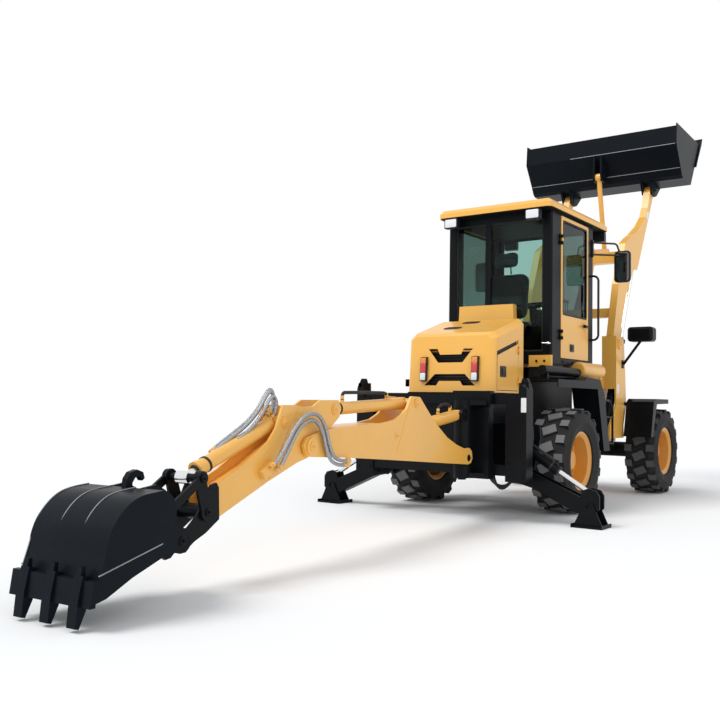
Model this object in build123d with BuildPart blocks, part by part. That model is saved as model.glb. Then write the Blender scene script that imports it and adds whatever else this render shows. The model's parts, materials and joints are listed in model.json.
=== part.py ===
"""Articulated backhoe loader: loader raised in front, side-shifting backhoe stretched out behind.

Millimetres. X points forward, Y to the machine's left, Z up; the origin is on the ground under the
middle of the machine's overall box. Side views are drawn as (distance ahead of the rear axle, height).
"""
import os
from math import atan2, cos, degrees, hypot, radians, sin

from build123d import *

os.makedirs("parts", exist_ok=True)

# ---------------------------------------------------------------- driving dimensions
rear_axle_x = 815.9  # rear axle, ahead of the middle of the overall box
wheelbase = 2800.0
frame_hinge = 1450.0  # upright pin between the two frames, ahead of the rear axle

tyre_radius = 532.0
tyre_width = 400.0
lug_depth = 28.0
lug_rows = 17
rim_radius = 278.0
rim_lip = 18.0
axle_height = tyre_radius
wheel_out = 840.0  # middle of each tyre, out from the machine's middle
disc_inset = 165.0  # wheel disc, in from the rim's outer edge

running_gap = 0.5  # between pieces that turn on each other
seat_gap = 0.3  # between round faces that seat on each other
door_gap = 6.0  # round doors and lids
plate = 20.0  # welded frame plates
sheet = 6.0  # hood and fender sheets

cab_rear, cab_front = 114.0, 1310.0
cab_half = 626.0
cab_floor, cab_top = 1530.0, 3176.0
cab_post = 60.0
roof_rear, roof_front, roof_half, roof_thick = -44.0, 1658.0, 682.0, 90.0
door_rear, door_front, door_low = 350.0, 1140.0, 1595.0
door_high = cab_top - 28.0
door_thick = 32.0
door_hinges = (1850.0, 2880.0)
door_hinge_out = cab_half + 20.0
door_leaves = ((door_rear - 42, cab_half - 2), (door_rear + 50, cab_half + 4))
door_rail = 40.0
glass_thick = 6.0
door_glass_low = 2070.0

hood_rear, hood_front = -945.0, -300.0
hood_half = 500.0
hood_low, hood_back_high, hood_high = 1204.0, 1765.0, 1975.0

fender_in, fender_out = 600.0, 900.0

boom_lateral = 110.0  # middle of each boom side plate, from the boom's middle
boom_plate = 20.0

# ---------------------------------------------------------------- planes and small helpers


def side(y=0.0):
    """Side view plane at y: (ahead of the rear axle, height), facing the machine's right."""
    return Plane(origin=(rear_axle_x, y, 0), x_dir=(1, 0, 0), z_dir=(0, -1, 0))


def across(x=0.0):
    """Plane across the machine at x: (left, height), facing forward."""
    return Plane(origin=(rear_axle_x + x, 0, 0), x_dir=(0, 1, 0), z_dir=(1, 0, 0))


def level(z=0.0):
    """Level plane at z: (ahead of the rear axle, left), facing up."""
    return Plane(origin=(rear_axle_x, 0, z), x_dir=(1, 0, 0), z_dir=(0, 0, 1))


def along(plane, start, end):
    """Plane at start, square to the line from start to end; both lie in the given plane."""
    a, b = plane.from_local_coords(Vector(*start)), plane.from_local_coords(Vector(*end))
    return Plane(origin=a, x_dir=plane.z_dir, z_dir=b - a)


def dist(a, b):
    return hypot(b[0] - a[0], b[1] - a[1])


def toward(a, b, reach):
    """Point on the line from a to b, at the given reach from a."""
    k = reach / dist(a, b)
    return (a[0] + k * (b[0] - a[0]), a[1] + k * (b[1] - a[1]))


def prism(plane, points, thick, rounded=0.0):
    """Flat plate with the given outline, its thickness centred on the plane."""
    with BuildPart() as piece:
        with BuildSketch(plane) as outline:
            with BuildLine():
                Polyline(*points, close=True)
            make_face()
            if rounded:
                fillet(outline.vertices(), rounded)
        extrude(amount=thick / 2, both=True)
    return piece.part


def slab(x, y, z):
    """Block from three (low, high) pairs; x counts from the rear axle."""
    with BuildPart() as piece:
        with BuildSketch(level(z[0])):
            with Locations(((x[0] + x[1]) / 2, (y[0] + y[1]) / 2)):
                Rectangle(x[1] - x[0], y[1] - y[0])
        extrude(amount=z[1] - z[0])
    return piece.part


def bar(plane, centre, radius, thick):
    """Round bar square to the plane, its length centred on the plane."""
    with BuildPart() as piece:
        with BuildSketch(plane):
            with Locations(centre):
                Circle(radius)
        extrude(amount=thick / 2, both=True)
    return piece.part


def rod_between(plane, start, end, radius, skip=0.0):
    """Round bar from start to end in the plane, beginning skip after the start."""
    with BuildPart() as piece:
        with BuildSketch(along(plane, start, end).offset(skip)):
            Circle(radius)
        extrude(amount=dist(start, end) - skip)
    return piece.part


def strut(start, end, radius):
    """Straight round bar between two points in space."""
    with BuildPart() as piece:
        with BuildSketch(Plane(origin=start, z_dir=end - start)):
            Circle(radius)
        extrude(amount=(end - start).length)
    return piece.part


def tube_path(points, radius, bend):
    """Bent round tube through the given points in space."""
    with BuildPart() as piece:
        with BuildLine() as path:
            FilletPolyline(*points, radius=bend)
        first = path.line @ 0
        with BuildSketch(Plane(origin=first, z_dir=path.line % 0)):
            Circle(radius)
        sweep()
    return piece.part


def both_sides(part):
    """The part and its mirror image on the other side of the machine."""
    with BuildPart() as piece:
        add(part)
        mirror(about=Plane.XZ)
    return piece.part


def collars(plane, centre, radius, inner, outer):
    """Matching round bosses on both sides of the plane, from inner to outer out from it."""
    with BuildPart() as piece:
        for start in (inner, -outer):
            with BuildSketch(plane.offset(start)):
                with Locations(centre):
                    Circle(radius)
            extrude(amount=outer - inner)
    return piece.part


def hinge_halves(x, out, hand, z0, knuckle, still_leaf, door_leaf):
    """Fixed and moving halves of a hinge whose upright pin stands at (x, out) with its middle at z0.

    Each leaf is given as (its end ahead, its inner face's distance out).
    """
    tall = 3 * knuckle
    halves = []
    for moving, leaf, spans in ((0, still_leaf, ((-1.5, -0.5), (0.5, 1.5))), (1, door_leaf, ((-0.5, 0.5),))):
        gap = moving * running_gap
        with BuildPart() as half:
            for low, high in spans:
                z = (z0 + low * tall + gap, z0 + high * tall - gap)
                with BuildSketch(level(z[0])):
                    with Locations((x, hand * out)):
                        Circle(knuckle)
                extrude(amount=z[1] - z[0])
                add(slab(sorted((x, leaf[0])), sorted((hand * leaf[1], hand * (out - knuckle / 2))), z))
            with BuildSketch(level(z0 - 1.5 * tall)):
                with Locations((x, hand * out)):
                    Circle(knuckle / 2 + gap)
            extrude(amount=3 * tall, mode=Mode.SUBTRACT if moving else Mode.ADD)
        halves.append(half.part)
    return halves


def save(part, name):
    part.label = name
    export_step(part, f"parts/{name}.step")


def cylinder_pair(plane, base, end, closed, bore, rod, eye, eye_wide, pin):
    """Hydraulic cylinder from its base pin to its rod pin: (barrel, rod) parts.

    closed is the pin distance with the rod fully in. The barrel's eye turns on a pin of the given
    radius; the rod's eye carries its own pin.
    """
    gland = closed - 1.25 * eye
    length = dist(base, end)
    square = along(plane, base, end)
    with BuildPart() as barrel:
        with BuildSketch(square.offset(1.45 * eye)):
            Circle(bore)
        extrude(amount=gland - 1.45 * eye)
        with BuildSketch(square.offset(0.5 * eye)):
            Rectangle(1.3 * eye, eye_wide)
        extrude(amount=eye)
        with BuildSketch(square.offset(gland - 0.6 * bore)):
            Circle(1.16 * bore)
        extrude(amount=0.6 * bore)
        with BuildSketch(square.offset(1.55 * eye)):
            Circle(rod + running_gap)
        extrude(amount=gland, mode=Mode.SUBTRACT)
        with BuildSketch(plane):
            with Locations(base):
                Circle(eye)
        extrude(amount=eye_wide / 2, both=True)
        with BuildSketch(plane):
            with Locations(base):
                Circle(pin + running_gap)
        extrude(amount=eye_wide, both=True, mode=Mode.SUBTRACT)
    with BuildPart() as piston:
        with BuildSketch(square.offset(length - closed + 1.7 * eye)):
            Circle(rod)
        extrude(amount=closed - 1.7 * eye)
        with BuildSketch(plane):
            with Locations(end):
                Circle(eye)
        extrude(amount=eye_wide / 2, both=True)
    return barrel.part, piston.part


# ---------------------------------------------------------------- wheels
wheel_places = (  # name, ahead of the rear axle, side (+1 left)
    ("rear_left", 0.0, 1),
    ("rear_right", 0.0, -1),
    ("front_left", wheelbase, 1),
    ("front_right", wheelbase, -1),
)
carcass_radius = tyre_radius - lug_depth
bead_radius = rim_radius - rim_lip
bead_half = 0.36 * tyre_width
lug_step = 360.0 / lug_rows
tyre_lugs = (  # middle across the tread, turn in steps, length across, length round, slant
    (0.0, 0.5, 150.0, 105.0, 24.0),
    (132.0, 0.0, 96.0, 92.0, 0.0),
    (-132.0, 0.0, 96.0, 92.0, 0.0),
)


def make_tyre():
    """Tyre with its hub line on the Y axis."""
    hub_line = Plane.YZ
    with BuildPart() as tyre:
        with BuildSketch(hub_line) as section:
            with BuildLine():
                Polyline(
                    (-bead_half, bead_radius + seat_gap),
                    (bead_half, bead_radius + seat_gap),
                    (bead_half, rim_radius + rim_lip),
                    (0.44 * tyre_width, rim_radius + rim_lip + 8.0),
                    (0.50 * tyre_width, 0.5 * (rim_radius + carcass_radius)),
                    (0.45 * tyre_width, carcass_radius - 26.0),
                    (0.30 * tyre_width, carcass_radius),
                    (-0.30 * tyre_width, carcass_radius),
                    (-0.45 * tyre_width, carcass_radius - 26.0),
                    (-0.50 * tyre_width, 0.5 * (rim_radius + carcass_radius)),
                    (-0.44 * tyre_width, rim_radius + rim_lip + 8.0),
                    (-bead_half, rim_radius + rim_lip),
                    close=True,
                )
            make_face()
        revolve(axis=Axis(hub_line.origin, (0, 1, 0)))
        for row in range(lug_rows):
            for place, turn, wide, round_, slant in tyre_lugs:
                angle = (row + turn) * lug_step
                foot = Plane(
                    origin=hub_line.origin + Vector(0, place, 0), x_dir=(0, 1, 0), z_dir=(1, 0, 0)
                ).rotated((0, angle, 0))
                top = tyre_radius if place == 0.0 else tyre_radius - 7.0
                with BuildSketch(Plane(origin=foot.origin, x_dir=(0, 1, 0), z_dir=foot.y_dir).offset(
                        carcass_radius - 30.0)):
                    with Locations(Rotation(0, 0, slant)):
                        Rectangle(wide, round_)
                extrude(amount=top - carcass_radius + 30.0, taper=6)
    return tyre.part


def make_rim(facing):
    """Rim with its hub line on the Y axis and its dish facing one way along it."""
    hub_line = Plane(origin=(0, 0, 0), x_dir=(0, facing, 0), z_dir=(facing, 0, 0))
    edge = 0.40 * tyre_width
    disc = edge - disc_inset
    with BuildPart() as rim:
        with BuildSketch(hub_line):
            with BuildLine():
                Polyline(
                    (-edge, rim_radius),
                    (-edge, rim_radius + rim_lip - seat_gap),
                    (-bead_half - seat_gap, rim_radius + rim_lip - seat_gap),
                    (-bead_half - seat_gap, bead_radius),
                    (bead_half + seat_gap, bead_radius),
                    (bead_half + seat_gap, rim_radius + rim_lip - seat_gap),
                    (edge, rim_radius + rim_lip - seat_gap),
                    (edge, rim_radius),
                    (0.34 * tyre_width, bead_radius - 14.0),
                    (disc + 12.0, bead_radius - 24.0),
                    (disc + 12.0, 150.0),
                    (disc + 30.0, 135.0),
                    (disc + 30.0, 0.0),
                    (disc, 0.0),
                    (disc, bead_radius - 26.0),
                    (-0.34 * tyre_width, bead_radius - 12.0),
                    close=True,
                )
            make_face()
        revolve(axis=Axis(hub_line.origin, (0, 1, 0)))
        outward = Plane(origin=hub_line.origin, x_dir=(1, 0, 0), z_dir=(0, facing, 0))
        with BuildSketch(outward.offset(disc + 12.0)):
            with PolarLocations(190.0, 10):
                Circle(13.0)
        extrude(amount=14.0)
        with BuildSketch(outward.offset(disc + 30.0)):
            Circle(95.0)
        extrude(amount=45.0, taper=10)
    return rim.part


tyre = make_tyre()
rims = {facing: make_rim(facing) for facing in (1, -1)}
for wheel_name, wheel_x, wheel_side in wheel_places:
    hub = Location((rear_axle_x + wheel_x, wheel_side * wheel_out, axle_height))
    save(tyre.moved(hub), f"tyre_{wheel_name}")
    save(rims[wheel_side].moved(hub), f"rim_{wheel_name}")

# ---------------------------------------------------------------- rear frame
engine_half = 270.0
rail_out = 400.0  # outer faces of the rear frame's side plates
rear_end = -1040.0
hinge_low, hinge_high = 620.0, 1060.0
hinge_pin = 35.0
hinge_tube = 85.0
lug_plate = 40.0
saddle_half = 110.0
housing = 95.0  # radius of the axle housings

rear_side = (  # ahead, height
    (rear_end, 640), (rear_end, 1190), (60, 1190), (150, 1500), (1180, 1500), (1240, 1380), (1240, 640),
    (saddle_half, 640), (saddle_half, axle_height + housing), (-saddle_half, axle_height + housing),
    (-saddle_half, 640),
)
with BuildPart() as rear_chassis:
    for plate_side in (-1, 1):
        add(prism(side(plate_side * (rail_out - plate)), rear_side, 2 * plate))
    for low, high, z0, z1 in (  # ahead from and to, height from and to
        (rear_end, rear_end + 30, 640, 1190), (-760, -730, 640, 800), (-330, -300, 640, 1190),
        (300, 330, 640, 1500), (1180, 1240, 640, 1360),
    ):
        add(slab((low, high), (-rail_out + plate, rail_out - plate), (z0, z1)))
    for z0 in (hinge_low - lug_plate, hinge_high):
        with BuildSketch(level(z0)):
            with BuildLine():
                Polyline((1200, -260), (1200, 260), (frame_hinge, 120), (frame_hinge, -120), close=True)
            make_face()
            with Locations((frame_hinge, 0)):
                Circle(120)
        extrude(amount=lug_plate)
    add(slab((1200, 1240), (-260, 260), (hinge_low - lug_plate, 660)))
    with BuildSketch(level(hinge_low - lug_plate - 25)):
        with Locations((frame_hinge, 0)):
            Circle(hinge_pin)
    extrude(amount=hinge_high - hinge_low + 2 * lug_plate + 50)
    for sill in ((-925, -855), (-370, -310)):
        add(slab(sill, (-hood_half + 4, hood_half - 4), (1170, hood_low - seat_gap)))
    for hand in (-1, 1):
        for mount_x in (-800, -500):
            add(slab((mount_x, mount_x + 90), sorted((hand * (engine_half + seat_gap), hand * (rail_out - plate))),
                     (900, 960)))
        for mount_x in (260, 1120):
            with BuildSketch(level(1490)):
                with Locations((mount_x, hand * (rail_out - plate))):
                    Circle(42)
            extrude(amount=cab_floor - seat_gap - 1490)
save(rear_chassis.part, "rear_chassis")

hub_face = wheel_out + 0.40 * tyre_width - disc_inset - running_gap  # hub's end, against the wheel disc


def make_axle(x):
    with BuildPart() as axle:
        add(bar(side(), (x, axle_height), housing, 2 * 560))
        add(bar(side(), (x, axle_height), 150, 2 * hub_face))
        add(bar(side(), (x, axle_height), 200, 2 * 560), mode=Mode.SUBTRACT)
        add(bar(side(), (x, axle_height), housing, 2 * 560))
        with BuildSketch(side()):
            with Locations((x, axle_height)):
                Circle(190)
        extrude(amount=95, both=True)
        fillet(axle.edges().filter_by(GeomType.CIRCLE).filter_by(lambda e: abs(e.radius - 190) < 1), 60)
    return axle.part


save(make_axle(0.0), "rear_axle")
save(slab((-850, -380), (-engine_half, engine_half), (880, 1600)), "engine_block")

# ---------------------------------------------------------------- hood
slope = 35.0  # lean of the hood's rear face
hood_side = (
    (hood_rear, hood_low), (hood_rear + slope, hood_back_high), (hood_rear + slope + 45, hood_back_high + 35),
    (hood_front, hood_high), (hood_front, hood_low),
)
hood_inside = (
    (hood_rear + sheet, hood_low - 1), (hood_rear + slope + sheet, hood_back_high - 2),
    (hood_rear + slope + 47, hood_back_high + 27), (hood_front + 1, hood_high - sheet), (hood_front + 1, hood_low - 1),
)
grille_top = ((-255, 1640), (-150, 1640), (-120, 1580), (120, 1580), (150, 1640), (255, 1640), (140, 1500), (-140, 1500))
grille_low = ((-290, 1270), (-170, 1385), (170, 1385), (290, 1270), (150, 1270), (120, 1315), (-120, 1315), (-150, 1270))
hood_ovals = ((-400, 50), (-640, 135))  # holes in the hood's top: (ahead, left)
riser = ((-252, 1510), (466, 1510), (434, 2172), (-219, 2172))  # cowl behind the cab: (left, height)
riser_inside = ((-246, 1500), (460, 1500), (428, 2166), (-213, 2166))
tank_rear, tank_front, tank_out, tank_z, tank_radius = 662.0, 1300.0, cab_half + 74.0, 1484.0, 86.0
lid_rear, lid_front, lid_low, lid_high_rear, lid_high_front = -890.0, -415.0, 1225.0, 1610.0, 1745.0
lid_hinges = (1320.0, 1640.0)
lid_slot = 42.0  # opening left above each side door
lid_hinge_out = hood_half + 12.0
lid_leaves = ((lid_front + 32, hood_half - 2), (lid_front - 36, hood_half - 2))
lid_outline = (
    (lid_rear, lid_low), (lid_rear + 12, lid_high_rear), (lid_front, lid_high_front), (lid_front, lid_low),
)


def hood_form(outline, half, corner, edge):
    """Solid in the hood's form, with its rear corners rounded and its long top edges bevelled."""
    with BuildPart() as form:
        with BuildSketch(side()):
            with BuildLine():
                Polyline(*outline, close=True)
            make_face()
        extrude(amount=half, both=True)
        fillet(form.edges().filter_by(Axis.Z, tolerance=6).group_by(Axis.X)[0], corner)
        top = form.faces().sort_by(Axis.Z)[-1]
        chamfer(top.edges().filter_by(lambda e: abs(e.tangent_at(0.5).Y) < 0.2), edge)
    return form.part


with BuildPart() as hood:
    add(hood_form(hood_side, hood_half, 70, 55))
    add(hood_form(hood_inside, hood_half - sheet, 70 - sheet, 55 - sheet), mode=Mode.SUBTRACT)
    add(prism(side(), lid_outline, 2 * hood_half + 100), mode=Mode.SUBTRACT)
    for outline in (grille_top, grille_low):
        with BuildSketch(across(hood_rear - 60)):
            with BuildLine():
                Polyline(*outline, close=True)
            make_face()
        extrude(amount=160, mode=Mode.SUBTRACT)
    for hand in (-1, 1):
        for z0 in lid_hinges:
            add(hinge_halves(lid_front, lid_hinge_out, hand, z0, 9, *lid_leaves)[0])
    with BuildSketch(level(hood_back_high)):
        for spot in hood_ovals:
            with Locations(spot):
                SlotOverall(200, 100, rotation=90)
    extrude(amount=300, mode=Mode.SUBTRACT)
    add(prism(across(cab_rear - 42), riser, 84 - 2 * seat_gap))
    add(prism(across(cab_rear - 42), riser_inside, 72 - 2 * seat_gap), mode=Mode.SUBTRACT)
    for hand in (-1, 1):
        add(slab((cab_rear - 30, cab_rear - seat_gap), sorted((hand * 384, hand * 640)), (1495, 1618)))
        with BuildPart() as tank:
            add(bar(across((tank_rear + tank_front) / 2), (hand * tank_out, tank_z), tank_radius, tank_front - tank_rear))
            fillet(tank.edges().filter_by(GeomType.CIRCLE), 22)
        add(tank.part)
save(hood.part, "hood")

with BuildPart() as hood_grille:
    for upright in (-330, 300):
        add(slab((hood_rear + 62, hood_rear + 82), (upright, upright + 30), (hood_low, 1680)))
    for z0, count, reach in ((1286, 4, 300), (1516, 5, 300)):  # lowest slat, slats, half width
        for step in range(count):
            add(slab((hood_rear + 62, hood_rear + 82), (-reach, reach), (z0 + 27 * step, z0 + 27 * step + 12)))
save(hood_grille.part, "hood_grille")

for hand, name in ((1, "left"), (-1, "right")):
    inset = (
        (lid_rear + door_gap, lid_low + door_gap), (lid_rear + 12 + door_gap, lid_high_rear - lid_slot),
        (lid_front - door_gap, lid_high_front - lid_slot), (lid_front - door_gap, lid_low + door_gap),
    )
    with BuildPart() as lid:
        add(prism(side(hand * (hood_half - sheet / 2)), inset, sheet))
        for z0 in lid_hinges:
            add(hinge_halves(lid_front, lid_hinge_out, hand, z0, 9, *lid_leaves)[1])
    save(lid.part, f"hood_door_{name}")

# ---------------------------------------------------------------- cab
pane_edges = (cab_floor + 130, cab_top - 90)  # rear window's height range
front_pane = (cab_floor + 190, cab_top - 70)
pane_half = cab_half - 100.0
with BuildPart() as cab_frame:
    add(slab((cab_rear, cab_front), (-cab_half, cab_half), (cab_floor, cab_top)))
    fillet(cab_frame.edges().filter_by(Axis.Z), 25)
    add(slab((cab_rear + cab_post, cab_front - cab_post), (-cab_half + cab_post, cab_half - cab_post),
             (cab_floor + 30, cab_top - 50)), mode=Mode.SUBTRACT)
    add(slab((cab_rear - 1, cab_rear + cab_post + 1), (-pane_half, pane_half), pane_edges), mode=Mode.SUBTRACT)
    add(slab((cab_front - cab_post - 1, cab_front + 1), (-pane_half, pane_half), front_pane), mode=Mode.SUBTRACT)
    add(slab((door_rear, door_front), (-cab_half - 1, cab_half + 1), (door_low, door_high)), mode=Mode.SUBTRACT)
    add(slab((cab_rear, cab_rear + 18), (92, 160), pane_edges))
    for hand in (-1, 1):
        for z0 in door_hinges:
            add(hinge_halves(door_rear, door_hinge_out, hand, z0, 12, *door_leaves)[0])
save(cab_frame.part, "cab_frame")

with BuildPart() as cab_glass:
    add(slab((cab_rear + 20, cab_rear + 20 + glass_thick), (-pane_half, pane_half), pane_edges))
    add(slab((cab_front - 26, cab_front - 26 + glass_thick), (-pane_half, pane_half), front_pane))
save(cab_glass.part, "cab_glass")

with BuildPart() as cab_roof:
    add(slab((roof_rear, roof_front), (-roof_half, roof_half), (cab_top, cab_top + roof_thick)))
    fillet(cab_roof.edges().filter_by(Axis.Z), 60)
    chamfer(cab_roof.faces().sort_by(Axis.Z)[-1].edges(), 42)
save(cab_roof.part, "cab_roof")

door_x = (door_rear + door_gap, door_front - door_gap)
door_z = (door_low + door_gap, door_high - door_gap)
door_glass_x = (door_x[0] + door_rail, door_x[1] - door_rail)
door_glass_z = (door_glass_low, door_z[1] - door_rail)
for hand, name in ((1, "left"), (-1, "right")):
    outer = cab_half + 6.0
    door_y = sorted((hand * outer, hand * (outer - door_thick)))
    pane_y = sorted((hand * (outer - 12), hand * (outer - 12 - glass_thick)))
    with BuildPart() as door:
        add(slab(door_x, door_y, door_z))
        for z0 in door_hinges:
            add(hinge_halves(door_rear, door_hinge_out, hand, z0, 12, *door_leaves)[1])
        add(slab(door_glass_x, (door_y[0] - 1, door_y[1] + 1), door_glass_z), mode=Mode.SUBTRACT)
        lever = (door_front - 110, 1985)
        add(bar(side(hand * (outer + 14)), lever, 13, 28))
        add(slab((lever[0] - 70, lever[0] + 14), sorted((hand * (outer + 28), hand * (outer + 44))),
                 (lever[1] - 12, lever[1] + 12)))
    save(door.part, f"door_{name}")
    save(slab(door_glass_x, pane_y, door_glass_z), f"door_glass_{name}")

seat_x, seat_top = 560.0, 2010.0
with BuildPart() as seat:
    add(slab((seat_x - 220, seat_x + 260), (-255, 255), (seat_top - 110, seat_top)))
    add(prism(side(), ((seat_x - 230, seat_top), (seat_x - 105, seat_top), (seat_x - 180, seat_top + 560),
                       (seat_x - 285, seat_top + 560)), 520))
    add(prism(side(), ((seat_x - 262, seat_top + 560), (seat_x - 212, seat_top + 560), (seat_x - 230, seat_top + 620),
                       (seat_x - 270, seat_top + 620)), 160))
    add(prism(side(), ((seat_x - 285, seat_top + 600), (seat_x - 205, seat_top + 600), (seat_x - 225, seat_top + 790),
                       (seat_x - 290, seat_top + 790)), 300))
save(seat.part, "seat")

with BuildPart() as seat_console:
    add(slab((seat_x - 160, seat_x + 160), (-150, 150), (cab_floor + 30, seat_top - 110)))
    add(slab((1090, 1210), (-70, 70), (cab_floor + 30, cab_floor + 130)))
    add(rod_between(side(), (1150, cab_floor + 110), (1014, 2256), 45))
    wheel_hub = Plane(origin=(rear_axle_x + 1012, 0, 2260), x_dir=(0, 1, 0), z_dir=(-160, 0, 670))
    with BuildSketch(wheel_hub):
        Circle(45)
        with PolarLocations(95, 3):
            Rectangle(190, 26)
    extrude(amount=12, both=True)
    with BuildSketch(Plane(origin=wheel_hub.origin + wheel_hub.x_dir * 190, x_dir=wheel_hub.x_dir,
                           z_dir=wheel_hub.y_dir)):
        Circle(16)
    revolve(axis=Axis(wheel_hub.origin, wheel_hub.z_dir))
    for hand in (1, -1):
        add(slab((880, 1180), sorted((hand * 330, hand * 480)), (cab_floor + 30, 2080)))
    add(slab((260, 420), (-480, -330), (cab_floor + 30, 2120)))
save(seat_console.part, "seat_console")

# ---------------------------------------------------------------- rear fenders, steps and tanks
arch = (  # outer outline, then back along the inner one
    (-340, 1352), (350, 1352), (440, 1392), (800, 1378), (940, 1224), (1110, 590), (930, 590), (735, 1272),
    (-340, 1272),
)
deck_thick = 12.0
with BuildPart() as rear_fenders:
    add(prism(side(-(fender_out - sheet)), arch, 2 * sheet))
    deck = ((-340, 1352), (350, 1352), (440, 1392), (800, 1378), (940, 1224), (1110, 590), (1098, 590),
            (929, 1220), (794, 1366), (440, 1380), (350, 1340), (-340, 1340))
    mid = -(rail_out + fender_out) / 2
    add(prism(side(mid), ((hood_front + 8, 1352),) + deck[1:4] + deck[8:11] + ((hood_front + 8, 1340),),
              fender_out - rail_out))
    add(prism(side(-(fender_in + fender_out) / 2), deck, fender_out - fender_in))
    add(prism(side(-(fender_in + fender_out) / 2), ((735, 1290), (745, 1290), (940, 590), (930, 590)),
              fender_out - fender_in))
    add(slab((930, 1110), (-fender_out, -fender_in), (590, 602)))
    for z0, ahead in ((956, 1000), (660, 1080)):
        add(slab((ahead - 30, 1300), (-fender_out + 20, -fender_in - 40), (z0, z0 + 16)))
    for y0 in (fender_out - 35, fender_in + 55):
        add(tube_path([(rear_axle_x + 990, -y0, 1150), (rear_axle_x + 1180, -y0, 1150), (rear_axle_x + 1290, -y0, 1040),
                       (rear_axle_x + 1290, -y0, 640)], 13, 70))
    add(bar(across(175), (-tank_out, 1446), 50, 930))
    for x0 in (-240, 590):
        add(slab((x0, x0 + 30), (-tank_out - 40, -tank_out + 40), (1345, 1412)))
    add(slab((700, 760), (-tank_out - 60, -tank_out + 60), (1370, tank_z - tank_radius - seat_gap)))
    mirror(about=Plane.XZ)
save(rear_fenders.part, "rear_fenders")

with BuildPart() as lamps_mirrors:
    for hand in (1, -1):
        for lamp_rear, mid_y in ((roof_rear + 14, 494 + 28 * hand), (roof_front - 70, roof_half - 110)):
            with BuildPart() as work_lamp:
                add(slab((lamp_rear, lamp_rear + 56), (hand * mid_y - 84, hand * mid_y + 84), (cab_top - 122, cab_top - 8)))
                fillet(work_lamp.edges().filter_by(Axis.X), 16)
            add(work_lamp.part)
            add(slab((lamp_rear + 20, lamp_rear + 40), (hand * mid_y - 12, hand * mid_y + 12), (cab_top - 10, cab_top)))
        tail_y = hand * 292
        seat = [(hood_rear - seat_gap + slope * (z0 - hood_low) / (hood_back_high - hood_low), z0) for z0 in (1310, 1560)]
        add(prism(side(tail_y), (seat[0], seat[1], (seat[1][0] - 32, 1552), (seat[0][0] - 32, 1318)), 72))
        with BuildPart() as mirror_case:
            add(slab((1468, 1505), sorted((hand * 818, hand * 1010)), (2530, 2900)))
            fillet(mirror_case.edges().filter_by(Axis.X), 45)
            chamfer(mirror_case.faces().sort_by(Axis.X)[-1].edges(), 12)
        add(mirror_case.part)
        add(slab((cab_front - 54, cab_front - 26), sorted((hand * (cab_half + seat_gap), hand * (cab_half + 16))),
                 (2820, 3020)))
        pillar = Vector(rear_axle_x + cab_front - 40, hand * (cab_half + 10), 0)
        stay = Vector(rear_axle_x + 1486, hand * 880, 0)
        add(strut(pillar + (0, 0, 2850), stay + (-10, 0, 2850), 11))
        add(tube_path([pillar + (0, 0, 2990), stay + (-30, -hand * 30, 2985), stay + (0, 0, 2880)], 11, 40))
        grab = [Vector(rear_axle_x + door_front + 90, hand * (cab_half + out), z0)
                for out, z0 in ((seat_gap, 1848), (92, 1848), (92, 2590), (seat_gap, 2590))]
        add(tube_path(grab, 13, 60))
save(lamps_mirrors.part, "lamps_mirrors")

# ---------------------------------------------------------------- front frame and loader tower
tower_rear, tower_top = 1970.0, 1950.0
arm_y = 578.0  # middle of each loader arm, out from the machine's middle
arm_thick = 90.0
tower_gap = 140.0  # between the two plates that hold each arm
lift_pin = (2075.0, 1850.0)  # loader arms' pivot
lift_base = (1860.0, 800.0)  # lift cylinders' lower pin
front_half = 330.0
lift_pin_radius = 40.0
lift_eye_wide = 60.0
cylinder_pin = 22.0

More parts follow.
